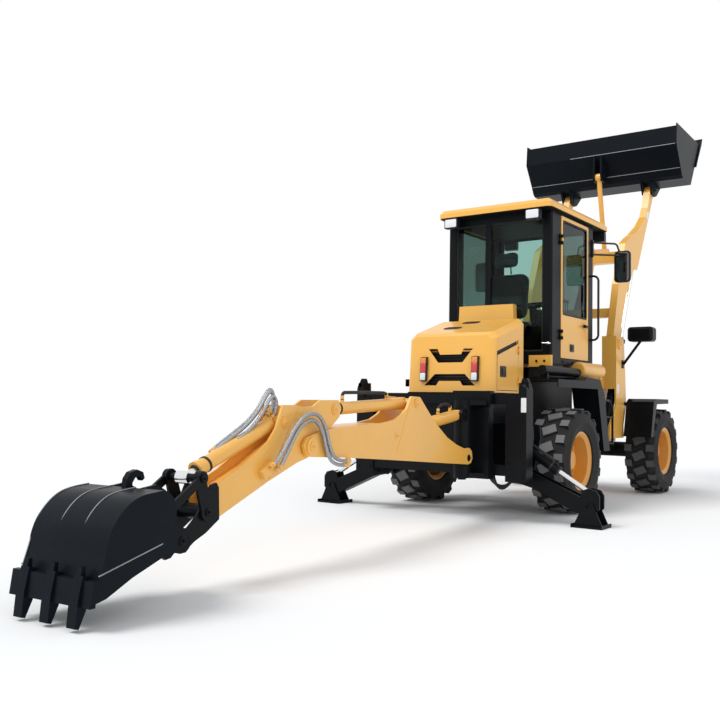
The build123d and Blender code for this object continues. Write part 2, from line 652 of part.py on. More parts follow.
front_side = (
    (frame_hinge + 190, 700), (frame_hinge + 190, 985), (2050, 985), (2350, 985), (wheelbase + 400, 870),
    (wheelbase + 400, 700), (wheelbase + saddle_half, 700), (wheelbase + saddle_half, axle_height + housing),
    (wheelbase - saddle_half, axle_height + housing), (wheelbase - saddle_half, 700),
)
tower_side = (
    (tower_rear, 1100), (tower_rear, tower_top), (2240, tower_top), (2300, 1500), (2330, 1100), (2240, 860),
    (2240, 700), (1760, 700), (1760, 860),
)
tower_plates = (arm_y - tower_gap / 2 - plate / 2, arm_y + tower_gap / 2 + plate / 2)
with BuildPart() as front_frame:
    for hand in (-1, 1):
        add(prism(side(hand * (front_half - plate)), front_side, 2 * plate))
        for y0 in tower_plates:
            add(prism(side(hand * y0), tower_side, plate))
        add(slab((tower_rear, tower_rear + plate),
                 sorted((hand * (tower_plates[0] - plate / 2), hand * (tower_plates[1] + plate / 2))), (1300, tower_top)))
        add(slab((1800, 2230), sorted((hand * (front_half - plate), hand * tower_plates[0])), (700, 985)))
        for pin, radius in ((lift_pin, lift_pin_radius), (lift_base, cylinder_pin)):
            add(bar(side(hand * arm_y), pin, 1.6 * radius, tower_gap + 2 * plate + 24))
            add(bar(side(hand * arm_y), pin, 2 * radius, tower_gap), mode=Mode.SUBTRACT)
            add(bar(side(hand * arm_y), pin, radius, tower_gap))
        add(collars(side(hand * arm_y), lift_pin, 1.6 * lift_pin_radius, arm_thick / 2 + running_gap, tower_gap / 2))
        add(collars(side(hand * arm_y), lift_base, 1.6 * cylinder_pin, lift_eye_wide / 2 + running_gap, tower_gap / 2))
    add(slab((1930, 2050), (-tower_plates[0], tower_plates[0]), (1280, 1420)))
    add(slab((frame_hinge + 190, frame_hinge + 230), (-front_half, front_half), (700, 985)))
    add(slab((wheelbase + 360, wheelbase + 400), (-front_half, front_half), (700, 860)))
    add(slab((2000, 2040), (-front_half, front_half), (700, 985)))
    with BuildSketch(level(hinge_low + running_gap)):
        with Locations((frame_hinge, 0)):
            Circle(hinge_tube)
    extrude(amount=hinge_high - hinge_low - 2 * running_gap)
    add(slab((frame_hinge + 40, frame_hinge + 200), (-75, 75), (700, 985)))
    with BuildSketch(level(hinge_low - 50)):
        with Locations((frame_hinge, 0)):
            Circle(hinge_pin + running_gap)
    extrude(amount=hinge_high, mode=Mode.SUBTRACT)
save(front_frame.part, "front_frame")
save(make_axle(wheelbase), "front_axle")

front_arch = tuple((wheelbase + ahead, z0) for ahead, z0 in (
    (-660, 720), (-550, 1150), (-470, 1185), (40, 1185), (60, 1165), (40, 1173), (-465, 1173), (-538, 1143), (-648, 720),
))
fender_skirt = tuple((wheelbase + ahead, z0) for ahead, z0 in (
    (-660, 720), (-550, 1150), (-470, 1185), (40, 1185), (40, 1130), (-430, 1120), (-590, 720),
))
lamp_x = wheelbase - 600.0  # headlamps
front_fender_in = 700.0
with BuildPart() as front_fenders:
    add(prism(side(-(front_fender_in + 1040) / 2), front_arch[:4] + front_arch[5:], 1040 - front_fender_in))
    add(prism(side(-1035), fender_skirt, 10))
    rail_y = -tower_plates[1] - plate / 2
    add(slab((wheelbase - 550, wheelbase - 490), (-760, rail_y - seat_gap), (1100, 1140)))
    add(slab((wheelbase - 550, wheelbase - 490), (-760, -720), (1100, 1180)))
    add(slab((lamp_x - 40, lamp_x + 20), (rail_y - 12, rail_y - seat_gap), (1560, 1660)))
    add(rod_between(across(lamp_x - 10), (rail_y - 14.5, 1610), (-900, 1900), 16))
    with BuildPart() as headlamp:
        add(slab((lamp_x - 90, lamp_x + 70), (-1060, -750), (1885, 2065)))
        fillet(headlamp.edges().filter_by(Axis.X), 40)
        chamfer(headlamp.faces().sort_by(Axis.X)[0].edges(), 30)
    add(headlamp.part)
    mirror(about=Plane.XZ)
save(front_fenders.part, "front_fenders")

# ---------------------------------------------------------------- loader arms and bucket
bucket_pin = (3540.0, 4070.0)
lift_rod_pin = (2850.0, 2960.0)
lever_pin = (2800.0, 3120.0)
lever_front = (3390.0, 3234.0)
lever_back = (2704.0, 2857.0)
bucket_link_pin = (3160.0, 4260.0)
tilt_base = (2280.0, 2160.0)

lever_half = 64.0
lug_y = 78.0  # lugs for the tilt linkage, out from the machine's middle
eye_wide = 76.0  # tilt cylinder's and link's eyes
arm_foot = 76.0
arm_tip = 66.0
arm_side = (
    (2000, 1860), (2003, 1960), (2190, 2620), (2427, 3166), (2600, 3262), (2774, 3341), (3040, 3490), (3240, 3650),
    (3330, 3800), (3424, 4032), (3490, 4115), (3600, 4060), (3170, 3340), (2940, 2960),
    (2880, 2880), (2760, 2890), (2480, 2520), (2250, 2000), (2140, 1810),
)
with BuildPart() as loader_arms:
    for hand in (-1, 1):
        add(prism(side(hand * arm_y), arm_side, arm_thick))
        add(bar(side(hand * arm_y), lift_pin, arm_foot, arm_thick))
        add(bar(side(hand * arm_y), bucket_pin, arm_tip, arm_thick))
    add(slab((2530, 2670), (-arm_y, arm_y), (2950, 3090)))
    add(slab((2115, 2220), (-arm_y, arm_y), (2195, 2310)))
    for y0 in (-lug_y, lug_y):
        add(prism(side(y0), ((2600, 2950), (2600, 3090), (2760, 3190), (2850, 3180), (2870, 3090), (2800, 3040),
                             (2700, 2950)), plate))
        add(prism(side(y0), ((2160, 2200), (2160, 2290), (2330, 2210), (2340, 2130), (2260, 2090)), plate))
    add(collars(side(), tilt_base, 40, eye_wide / 2 + running_gap, lug_y + 15))
    add(collars(side(), lever_pin, 48, lever_half + running_gap, lug_y + 15))
    add(bar(side(), tilt_base, cylinder_pin, 2 * lug_y))
    add(bar(side(), lever_pin, 30, 2 * lug_y))
    for pin, radius in ((lift_pin, lift_pin_radius), (bucket_pin, 34)):
        add(bar(side(), pin, radius + running_gap, 2 * arm_y + 200), mode=Mode.SUBTRACT)
    lift_slot = ((2690, 2760), (3000, 2760), (3000, 3080), (2900, 3190), (2750, 3190), (2660, 3080))
    for hand in (-1, 1):
        add(prism(side(hand * arm_y), lift_slot, lift_eye_wide + 2 * running_gap), mode=Mode.SUBTRACT)
save(loader_arms.part, "loader_arms")

lever_hub = 58.0
with BuildPart() as tilt_lever:
    with BuildSketch(side()):
        with BuildLine():
            Polyline((2640, 2835), (2690, 2920), (2745, 3150), (2800, 3190), (3370, 3290), (3440, 3240), (3400, 3180),
                     (2860, 3060), (2765, 2830), (2700, 2800), close=True)
        make_face()
        with Locations(lever_pin):
            Circle(30 + running_gap, mode=Mode.SUBTRACT)
    extrude(amount=lever_half, both=True)
    for end in (lever_front, lever_back):
        add(bar(side(), end, 110, eye_wide + 2 * running_gap), mode=Mode.SUBTRACT)
    add(bar(side(), lever_front, 26, 2 * lever_half))
save(tilt_lever.part, "tilt_lever")

with BuildPart() as tilt_link:
    add(rod_between(side(), lever_front, bucket_link_pin, 33))
    for end, radius in ((lever_front, 62), (bucket_link_pin, 52)):
        add(bar(side(), end, radius, eye_wide))
    add(bar(side(), lever_front, 26 + running_gap, 2 * eye_wide), mode=Mode.SUBTRACT)
save(tilt_link.part, "tilt_link")
tilt_barrel, tilt_rod = cylinder_pair(side(), tilt_base, lever_back, 640, 48, 26, 42, eye_wide, cylinder_pin)
save(tilt_barrel, "tilt_barrel")
save(tilt_rod, "tilt_rod")

lift_barrel, lift_rod = cylinder_pair(side(-arm_y), lift_base, lift_rod_pin, 1290, 52, 28, 42, lift_eye_wide, cylinder_pin)
save(both_sides(lift_barrel), "lift_barrels")
save(both_sides(lift_rod), "lift_rods")

bucket_half = 1070.0
bucket_wall = 12.0
bucket_side = (
    (3130, 4840), (3105, 4560), (3300, 4280), (3350, 4194), (3405, 4158), (3780, 4144), (4230, 4812),
)
bucket_inside = (
    (3142, 4845), (3118, 4564), (3312, 4286), (3361, 4201), (3411, 4170), (3774, 4156), (4212, 4812),
)
lip = ((3978, 4448), (4288, 4908), (4306, 4896), (3998, 4438))
tooth_side = ((4150, 4676), (4272, 4860), (4385, 4938), (4352, 4850), (4215, 4660))
tooth_half = 32.0
with BuildPart() as loader_bucket:
    add(prism(side(), bucket_side, 2 * bucket_half))
    add(prism(side(), bucket_inside[:-1] + ((4212, 4850),), 2 * (bucket_half - bucket_wall)), mode=Mode.SUBTRACT)
    add(prism(side(), ((3130, 4800), (3080, 4860), (4240, 4860), (4230, 4812)), 2 * (bucket_half - bucket_wall)),
        mode=Mode.SUBTRACT)
    add(prism(side(), lip, 2 * bucket_half + 40))
    for tooth in range(-4, 5):
        add(prism(side(tooth * (bucket_half - tooth_half) / 4), tooth_side, 2 * tooth_half))
    for hand in (-1, 1):
        for y0 in (arm_y - arm_thick / 2 - 16, arm_y + arm_thick / 2 + 16):
            add(prism(side(hand * y0), ((3300, 4290), (3440, 4010), (3560, 3985), (3630, 4010), (3800, 4150),
                                        (3370, 4160)), 24))
        inner = arm_thick / 2 + running_gap
        add(collars(side(hand * arm_y), bucket_pin, 54, inner, inner + 34))
        add(bar(side(hand * arm_y), bucket_pin, 34, arm_thick + 40))
    ear_y = eye_wide / 2 + running_gap + 12
    for y0 in (-ear_y, ear_y):
        add(prism(side(y0), ((3105, 4560), (3085, 4300), (3120, 4200), (3200, 4190), (3300, 4270), (3300, 4285)), 24))
    add(collars(side(), bucket_link_pin, 46, ear_y, ear_y + 24))
save(loader_bucket.part, "loader_bucket")

# ---------------------------------------------------------------- backhoe frame and carriage
rail_rear, rail_front = -1170.0, -1130.0  # rails the carriage slides on
rail_low, rail_high = 430.0, 1090.0
rail_tall = 100.0
post_in, post_out = 740.0, 950.0
post_rear, post_front = -1185.0, -1045.0
leg_x = -880.0  # middle of the stabilizer legs, ahead of the rear axle
leg_thick = 130.0
leg_pin = (-760.0, 440.0)  # right leg's pivot: (left, height)
leg_base = (-790.0, 690.0)  # stabilizer cylinder's upper pin
leg_end = (-1448.0, 190.0)  # pad pin
leg_rod_pin = (-1440.0, 300.0)
leg_eye_wide = 92.0
carriage_y = -408.0
carriage_half = 200.0
carriage_rear = -1262.0

with BuildPart() as backhoe_frame:
    for z0 in (rail_low, rail_high):
        add(slab((rail_rear, rail_front), (-post_out, post_out), (z0, z0 + rail_tall)))
    add(slab((rail_front, rear_end), (-rail_out, rail_out), (640, rail_high + rail_tall)))
    for hand in (-1, 1):
        with BuildSketch(across(post_rear)):
            with BuildLine():
                Polyline((hand * post_in, 380), (hand * post_out, 380), (hand * post_out, 1230),
                         (hand * (post_out - 20), 1290), (hand * (post_out - 75), 1290), (hand * (post_out - 82), 1145),
                         (hand * (post_in + 65), 1138), (hand * post_in, 1068), close=True)
            make_face()
        extrude(amount=post_front - post_rear)
        with BuildSketch(across(post_rear + 45)):
            with BuildLine():
                Polyline((hand * (post_out - 75), 1270), (hand * (post_out - 75), 1300), (hand * (post_out - 60), 1335),
                         (hand * (post_out - 20), 1335), (hand * post_out, 1300), (hand * post_out, 1225), close=True)
            make_face()
            with Locations((hand * (post_out - 37), 1265)):
                Circle(24, mode=Mode.SUBTRACT)
        extrude(amount=40)
        with BuildSketch(across(post_rear - 1)):
            with Locations((hand * (post_out - 37), 1265)):
                Circle(24)
        extrude(amount=200, mode=Mode.SUBTRACT)
        for x0 in (leg_x - leg_thick / 2 - 5 - plate, leg_x + leg_thick / 2 + 5):
            with BuildSketch(across(x0)):
                with BuildLine():
                    Polyline((hand * rail_out, 640), (hand * rail_out, 900), (hand * 780, 920), (hand * 910, 900),
                             (hand * 920, 780), (hand * 830, 360), (hand * 700, 350), (hand * 560, 500), close=True)
                make_face()
            extrude(amount=plate)
        add(slab((post_front, leg_x - leg_thick / 2 - 5), sorted((hand * post_in, hand * (post_out - 60))), (420, 880)))
        for pin, radius in ((leg_pin, 35), (leg_base, cylinder_pin)):
            spot = (-hand * pin[0], pin[1])
            add(bar(across(leg_x), spot, 1.6 * radius, leg_thick + 10 + 2 * plate + 20))
            add(bar(across(leg_x), spot, 3 * radius, leg_thick + 10), mode=Mode.SUBTRACT)
            add(bar(across(leg_x), spot, radius, leg_thick + 10))
            inner = (leg_thick if radius > cylinder_pin else leg_eye_wide) / 2 + running_gap
            add(collars(across(leg_x), spot, 1.6 * radius, inner, leg_thick / 2 + 5))
save(backhoe_frame.part, "backhoe_frame")

kingpin_x = -1400.0
swing_slew = 3.7  # boom's turn to the machine's right
lug_low, lug_high = 455.0, 1080.0
king_radius = 38.0
with BuildPart() as carriage:
    for y0 in (-carriage_half, carriage_half - plate):
        add(slab((carriage_rear, rail_rear - running_gap), (carriage_y + y0, carriage_y + y0 + plate), (400, 1060)))
    add(slab((carriage_rear, carriage_rear + plate), (carriage_y - carriage_half, carriage_y + carriage_half), (400, 1060)))
    add(slab((-1230, rail_rear - running_gap), (carriage_y - carriage_half, carriage_y + carriage_half), (400, 1215)))
    for z0 in (rail_low, rail_high):
        for z1, z2 in ((z0 - 25, z0 - running_gap), (z0 + rail_tall + running_gap, z0 + rail_tall + 25)):
            add(slab((-1200, rail_rear + 15), (carriage_y - carriage_half, carriage_y + carriage_half), (z1, z2)))
    for z0 in (lug_low - 45, lug_high):
        with BuildSketch(level(z0)):
            with BuildLine():
                Polyline((carriage_rear + 8, carriage_y - 170), (carriage_rear + 8, carriage_y + 170), (kingpin_x, carriage_y + 75),
                         (kingpin_x, carriage_y - 75), close=True)
            make_face()
            with Locations((kingpin_x, carriage_y)):
                Circle(75)
        extrude(amount=45)
    with BuildSketch(level(lug_low - 60)):
        with Locations((kingpin_x, carriage_y)):
            Circle(king_radius)
    extrude(amount=lug_high - lug_low + 120)
save(carriage.part, "carriage")

# ---------------------------------------------------------------- swing post, boom, arm and bucket
slew = radians(swing_slew)
rearward = Vector(-cos(slew), -sin(slew), 0)
leftward = Vector(-sin(slew), cos(slew), 0)
king = Vector(rear_axle_x + kingpin_x, carriage_y, 0)


def reach(offset=0.0):
    """Boom's plane, offset to its left: (behind the kingpin, height)."""
    return Plane(origin=king + leftward * offset, x_dir=rearward, z_dir=leftward)


boom_foot = (110.0, 602.0)
boom_base = (110.0, 990.0)  # boom cylinder's lower pin
boom_rod_pin = (1440.0, 830.0)
arm_base = (1120.0, 1088.0)  # arm cylinder's pin on the boom
arm_pin = (2587.0, 790.0)
arm_rod_pin = (2268.0, 1036.0)
bucket_base = (2850.0, 957.0)  # bucket cylinder's pin on the arm
rocker_pin = (3600.0, 455.0)
rocker_top = (3668.0, 650.0)
dig_pin = (3800.0, 318.0)
dig_link_pin = (3936.0, 484.0)
boom_in = boom_lateral - boom_plate / 2
arm_half = 88.0
nose_plate = 14.0
rocker_in = arm_half + nose_plate + running_gap  # inner faces of the rocker plates and of the bucket's ears
rocker_out = rocker_in + 18.0
link_in = rocker_out + running_gap  # push link's plates, outside the rocker and the bucket's ears
link_out = link_in + 18.0

boom_eye_wide, arm_eye_wide, dig_eye_wide = 76.0, 100.0, 90.0
post_half = 70.0
post_low, post_high = lug_low + running_gap, lug_high - running_gap
with BuildPart() as swing_post:
    with BuildSketch(Plane(origin=king + Vector(0, 0, post_low), x_dir=rearward, z_dir=(0, 0, 1))):
        Circle(80)
    extrude(amount=post_high - post_low)
    for pin, tall in ((boom_foot, 62), (boom_base, 52)):
        with BuildSketch(reach()):
            with BuildLine():
                Polyline((0, pin[1] - tall), (pin[0], pin[1] - tall), (pin[0], pin[1] + tall), (0, pin[1] + tall), close=True)
            make_face()
            with Locations(pin):
                Circle(tall)
        extrude(amount=post_half, both=True)
    add(bar(reach(), boom_base, 62, boom_eye_wide + 2 * running_gap), mode=Mode.SUBTRACT)
    add(bar(reach(), boom_base, cylinder_pin, 140))
    add(bar(reach(), boom_foot, 32, 2 * boom_lateral + boom_plate))
    with BuildSketch(Plane(origin=king + Vector(0, 0, post_low - 1), x_dir=rearward, z_dir=(0, 0, 1))):
        Circle(king_radius + running_gap)
    extrude(amount=post_high - post_low + 2, mode=Mode.SUBTRACT)
save(swing_post.part, "swing_post")

boom_side = (
    (30, 600), (45, 660), (95, 692), (200, 690), (354, 727), (551, 798), (740, 906), (874, 997), (1035, 1121),
    (1060, 1141), (1190, 1145), (1210, 1138), (1275, 1048), (1361, 999), (1473, 958), (1664, 936), (1971, 926),
    (2355, 904), (2559, 872), (2640, 850), (2680, 800), (2650, 740), (2590, 722), (2085, 693), (1437, 645),
    (699, 588), (127, 545), (60, 555),
)
with BuildPart() as boom:
    for hand in (-1, 1):
        add(prism(reach(hand * boom_lateral), boom_side, boom_plate))
        add(bar(reach(hand * (boom_lateral + boom_plate / 2 + 6)), arm_pin, 62, 12))
        add(bar(reach(hand * (boom_lateral + boom_plate / 2 + 5)), arm_base, 38, 10))
    for pin, radius, inner in ((boom_foot, 52, post_half), (boom_rod_pin, 40, boom_eye_wide / 2),
                               (arm_base, 38, arm_eye_wide / 2)):
        add(collars(reach(), pin, radius, inner + running_gap, boom_in + 2))
    add(prism(reach(), ((300, 559), (699, 588), (1130, 621), (1130, 637), (699, 604), (300, 575)), 2 * boom_in))
    add(prism(reach(), ((1560, 654), (2300, 708), (2300, 724), (1560, 670)), 2 * boom_in))
    add(prism(reach(), ((1700, 919), (1990, 909), (2240, 893), (2240, 909), (1990, 925), (1700, 935)), 2 * boom_in))
    add(prism(reach(), ((1560, 668), (1580, 668), (1720, 920), (1700, 920)), 2 * boom_in))
    add(bar(reach(), arm_pin, 36, 2 * boom_lateral + boom_plate + 24))
    add(bar(reach(), arm_base, cylinder_pin, 2 * boom_lateral))
    add(bar(reach(), boom_foot, 32 + running_gap, 2 * boom_lateral + 4 * boom_plate), mode=Mode.SUBTRACT)
save(boom.part, "boom")

arm_side_plate = (
    (2205, 985), (2190, 1060), (2222, 1104), (2445, 1102), (2530, 1060), (2633, 1053), (2724, 1066), (2871, 1066),
    (2942, 915), (3013, 838), (3136, 765), (3303, 676), (3540, 578), (3540, 398), (3480, 408),
    (3005, 588), (2700, 690), (2600, 712), (2520, 740), (2490, 800), (2440, 860), (2329, 904),
)
nose_side = (
    (3481, 402), (3490, 585), (3512, 615), (3560, 605), (3600, 530), (3640, 484), (3680, 434), (3745, 380), (3800, 380),
    (3850, 360), (3864, 318), (3850, 262), (3800, 248), (3730, 272), (3688, 298), (3595, 335),
)
with BuildPart() as arm:
    for hand in (-1, 1):
        add(prism(reach(hand * (arm_half - 8)), arm_side_plate, 16))
    add(collars(reach(), arm_rod_pin, 40, arm_eye_wide / 2 + running_gap, arm_half + 6))
    add(collars(reach(), bucket_base, 38, dig_eye_wide / 2 + running_gap, arm_half + 6))
    add(prism(reach(), ((2560, 724), (2700, 702), (3005, 600), (3480, 420), (3485, 434), (3010, 615), (2705, 717),
                        (2565, 740)), 2 * arm_half - 20))
    add(prism(reach(), ((2700, 900), (2960, 780), (3130, 690), (3500, 545), (3500, 530), (3125, 675), (2955, 765),
                        (2695, 885)), 2 * arm_half - 20))
    add(bar(reach(), arm_pin, 66, 2 * (boom_in - running_gap)))
    add(bar(reach(), bucket_base, cylinder_pin, 2 * arm_half))
    add(bar(reach(), arm_pin, 36 + running_gap, 3 * arm_half), mode=Mode.SUBTRACT)
save(arm.part, "arm")

with BuildPart() as arm_nose:
    for hand in (-1, 1):
        add(prism(reach(hand * (arm_half + nose_plate / 2)), nose_side, nose_plate))
    add(bar(reach(), rocker_pin, 26, 2 * rocker_out))
    add(bar(reach(), rocker_pin, 44, 2 * arm_half))
    add(bar(reach(), dig_pin, 32, 2 * rocker_out))
    add(bar(reach(), dig_pin, 62, 2 * arm_half))
save(arm_nose.part, "arm_nose")

with BuildPart() as rocker:
    for hand in (-1, 1):
        with BuildSketch(reach(hand * (rocker_in + rocker_out) / 2)):
            with BuildLine():
                Polyline((rocker_pin[0] - 50, rocker_pin[1]), (rocker_pin[0] + 50, rocker_pin[1]),
                         (rocker_top[0] + 42, rocker_top[1]), (rocker_top[0] - 42, rocker_top[1]), close=True)
            make_face()
            with Locations(rocker_pin):
                Circle(52)
            with Locations(rocker_top):
                Circle(44)
            with Locations(rocker_pin):
                Circle(26 + running_gap, mode=Mode.SUBTRACT)
        extrude(amount=(rocker_out - rocker_in) / 2, both=True)
    add(collars(reach(), rocker_top, 24, dig_eye_wide / 2 + running_gap, link_out + 6))
save(rocker.part, "rocker")

with BuildPart() as push_link:
    for hand in (-1, 1):
        with BuildSketch(reach(hand * (link_in + link_out) / 2)):
            with BuildLine():
                Polyline((rocker_top[0], rocker_top[1] - 30), (dig_link_pin[0], dig_link_pin[1] - 30),
                         (dig_link_pin[0], dig_link_pin[1] + 30), (rocker_top[0], rocker_top[1] + 30), close=True)
            make_face()
            with Locations(rocker_top, dig_link_pin):
                Circle(42)
            with Locations(rocker_top):
                Circle(24 + running_gap, mode=Mode.SUBTRACT)
        extrude(amount=(link_out - link_in) / 2, both=True)
    add(collars(reach(), dig_link_pin, 26, link_out - 2, link_out + 8))
save(push_link.part, "push_link")

dig_half = 280.0
dig_wall = 14.0
with BuildPart() as backhoe_bucket:
    with BuildSketch(reach()):
        with BuildLine():
            Polyline((4020, 300), (4115, 288), (4315, 220), (4480, 146), (4564, 128), (4490, 350))
            ThreePointArc((4490, 350), (4410, 530), (4240, 618))
            Line((4240, 618), (4120, 628))
            ThreePointArc((4120, 628), (4050, 590), (4022, 510))
            Line((4022, 510), (4020, 300))
        make_face()
    extrude(amount=dig_half, both=True)
    with BuildSketch(reach()):
        with BuildLine():
            Polyline((4034, 290), (4020, 200), (4540, 50), (4550, 128), (4476, 346))
            ThreePointArc((4476, 346), (4398, 518), (4236, 604))
            Line((4236, 604), (4124, 614))
            ThreePointArc((4124, 614), (4062, 580), (4036, 508))
            Line((4036, 508), (4034, 290))
        make_face()
    extrude(amount=dig_half - dig_wall, both=True, mode=Mode.SUBTRACT)
    for hand in (-1, 1):
        add(prism(reach(hand * (rocker_in + rocker_out) / 2), (
            (3738, 320), (3745, 275), (3775, 252), (3820, 250), (3862, 262), (3890, 238), (3930, 232), (3970, 258),
            (4024, 300), (4024, 500), (4060, 590), (4110, 628), (4010, 640), (3940, 605), (3895, 550), (3885, 470),
            (3850, 402), (3780, 385)), rocker_out - rocker_in))
    add(prism(reach(), ((4538, 240), (4570, 240), (4588, 118), (4556, 118)), 2 * dig_half + 24))
    for offset in (-192, 0, 192):
        add(prism(reach(offset), ((4530, 250), (4575, 262), (4600, 150), (4612, 22), (4590, 16), (4548, 100)), 62))
        add(prism(reach(offset), ((4575, 262), (4566, 300), (4545, 300), (4545, 250)), 30))
    add(prism(reach(), ((4088, 600), (4082, 650), (4062, 676), (4030, 678), (4012, 655), (3996, 668), (4008, 700),
                        (4050, 716), (4096, 704), (4122, 672), (4134, 600)), 36))
    add(bar(reach(), dig_link_pin, 26, 2 * rocker_out))
    add(bar(reach(), dig_pin, 32 + running_gap, 2 * dig_half), mode=Mode.SUBTRACT)
save(backhoe_bucket.part, "backhoe_bucket")

cylinders = (  # name, base pin, rod pin, closed length, barrel, rod, eye radius, eye width
    ("boom", boom_base, boom_rod_pin, 985.0, 52.0, 28.0, 44.0, boom_eye_wide),
    ("arm", arm_base, arm_rod_pin, 1130.0, 46.0, 25.0, 40.0, arm_eye_wide),
    ("bucket", bucket_base, rocker_top, 830.0, 46.0, 25.0, 38.0, dig_eye_wide),
)
for name, base, end, closed, bore, rod, eye, eye_wide in cylinders:
    barrel_part, rod_part = cylinder_pair(reach(), base, end, closed, bore, rod, eye, eye_wide, cylinder_pin)
    save(barrel_part, f"{name}_barrel")
    save(rod_part, f"{name}_rod")

# ---------------------------------------------------------------- stabilizers
leg_outline = (
    (-692, 440), (-715, 376), (-760, 352), (-900, 318), (-1330, 124), (-1440, 112), (-1505, 130), (-1545, 170),
    (-1545, 285), (-1515, 330), (-1440, 350), (-1385, 330), (-1370, 268), (-760, 522), (-705, 500),
)
leg_pocket = ((-840, 600), (-840, 380), (-905, 345), (-1350, 145), (-1600, 120), (-1600, 600))
with BuildPart() as leg:
    add(prism(across(leg_x), leg_outline, leg_thick))
    add(prism(across(leg_x), leg_pocket, leg_eye_wide + 2 * running_gap), mode=Mode.SUBTRACT)
    add(bar(across(leg_x), leg_end, 22, leg_thick))
    add(bar(across(leg_x), leg_end, 22, leg_thick + 10))
    add(bar(across(leg_x), leg_pin, 35 + running_gap, 2 * leg_thick), mode=Mode.SUBTRACT)
with BuildPart() as pad:
    add(slab((leg_x - 125, leg_x + 125), (-1588, -1300), (0, 16)))
    for lip_y in (-1588, -1308):
        add(slab((leg_x - 125, leg_x + 125), (lip_y, lip_y + 8), (16, 34)))
    for x0 in (leg_x - leg_thick / 2 - 3 - 6, leg_x + leg_thick / 2 + 3 + 6):
        add(prism(across(x0), ((-1580, 16), (-1308, 16), (-1408, 215), (-1488, 215)), 12))
    add(bar(across(leg_x), leg_end, 22 + running_gap, 2 * leg_thick), mode=Mode.SUBTRACT)
leg_barrel, leg_rod = cylinder_pair(across(leg_x), leg_base, leg_rod_pin, 450.0, 42.0, 22.0, 34.0, leg_eye_wide, cylinder_pin)
for name, piece in (("leg", leg.part), ("pad", pad.part), ("leg_barrel", leg_barrel), ("leg_rod", leg_rod)):
    save(Part(piece.wrapped), f"{name}_right")
    save(piece.mirror(Plane.XZ), f"{name}_left")
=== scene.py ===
# %% [markdown]
# # Backhoe loader: colours, light and small parts
# The big welded parts, wheels and cylinders come from the imported model, already in metres and in place. This
# file paints them and adds what is too fine for the solids: window rubbers, lamp lenses, weld beads, hoses,
# bolts and upholstery. Everything new rides on one of the machine's moving bodies, but the hoses across the
# elbow ride on none.

# %% Load the imported machine
import json

import bmesh
import bpy
import numpy as np
from mathutils import Matrix, Vector


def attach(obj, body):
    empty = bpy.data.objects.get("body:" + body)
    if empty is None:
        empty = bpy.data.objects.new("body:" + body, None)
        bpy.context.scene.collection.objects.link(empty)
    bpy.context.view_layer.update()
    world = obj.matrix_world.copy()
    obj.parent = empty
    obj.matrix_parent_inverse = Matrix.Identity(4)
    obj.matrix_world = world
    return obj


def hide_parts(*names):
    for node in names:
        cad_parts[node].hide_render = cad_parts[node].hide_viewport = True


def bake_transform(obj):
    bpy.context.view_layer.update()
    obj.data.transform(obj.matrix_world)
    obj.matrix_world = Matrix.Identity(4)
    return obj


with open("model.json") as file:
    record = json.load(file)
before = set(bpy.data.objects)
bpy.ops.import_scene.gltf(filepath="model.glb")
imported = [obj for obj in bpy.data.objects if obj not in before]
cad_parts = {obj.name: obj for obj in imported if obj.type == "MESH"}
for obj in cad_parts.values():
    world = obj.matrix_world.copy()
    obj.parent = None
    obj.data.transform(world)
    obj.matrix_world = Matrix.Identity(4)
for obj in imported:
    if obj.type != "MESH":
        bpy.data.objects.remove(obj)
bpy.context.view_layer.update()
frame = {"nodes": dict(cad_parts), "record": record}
rear_axle = 0.8159  # rear axle, ahead of the frame's origin

# %% [markdown]
# ## Where the viewer stands
# The machine is looked at from behind its right rear corner, from 1.1 m above the ground, so the stretched
# backhoe comes towards the viewer. The camera's three axes are written as the columns of a turn matrix.

# %% Camera
camera_place = (-7.7635, -4.384, 1.0952)
camera_axes = Matrix((
    (0.582239, -0.047557, -0.811626),
    (-0.812868, -0.014857, -0.582259),
    (0.015632, 0.998758, -0.047308),
))
camera = bpy.data.objects.new("camera", bpy.data.cameras.new("camera"))
camera.matrix_world = Matrix.Translation(camera_place) @ camera_axes.to_4x4()
camera.data.lens = 44.0  # mm
camera.data.sensor_width = 36.0  # mm
camera.data.clip_end = 200.0
bpy.context.scene.collection.objects.link(camera)
bpy.context.scene.camera = camera
print("camera at", camera_place)

# %% [markdown]
# ## Floor, sky and lamps
# A yard machine in a catalogue stands on white. The floor is a plain pale sheet that still takes the
# machine's shadow. The sky is soft light from all round, and white where it is looked at or mirrored. One broad
# lamp high on the viewer's left gives flat plates different tones, so every edge reads, and a weaker one on the
# right lifts the shadows.

# %% Node helpers
def shader(name):
    """New material with its nodes cleared down to the output; returns the material, its tree and the output."""
    material = bpy.data.materials.new(name)
    material.use_nodes = True
    tree = material.node_tree
    tree.nodes.clear()
    return material, tree, tree.nodes.new("ShaderNodeOutputMaterial")


def node(tree, kind, links=(), **values):
    """Adds a shader node; values set its sockets by name or its own properties; links are (socket, output)."""
    made = tree.nodes.new("ShaderNode" + kind)
    for key, value in values.items():
        if key in made.inputs:
            made.inputs[key].default_value = value
        else:
            setattr(made, key, value)
    for socket, source in links:
        tree.links.new(source, made.inputs[socket])
    return made


def maths(tree, operation, first, second=0.0):
    """One sum on numbers; each of the two may be an output or a plain number."""
    made = node(tree, "Math", operation=operation)
    for place, value in enumerate((first, second)):
        if isinstance(value, (int, float)):
            made.inputs[place].default_value = value
        else:
            tree.links.new(value, made.inputs[place])
    return made.outputs[0]


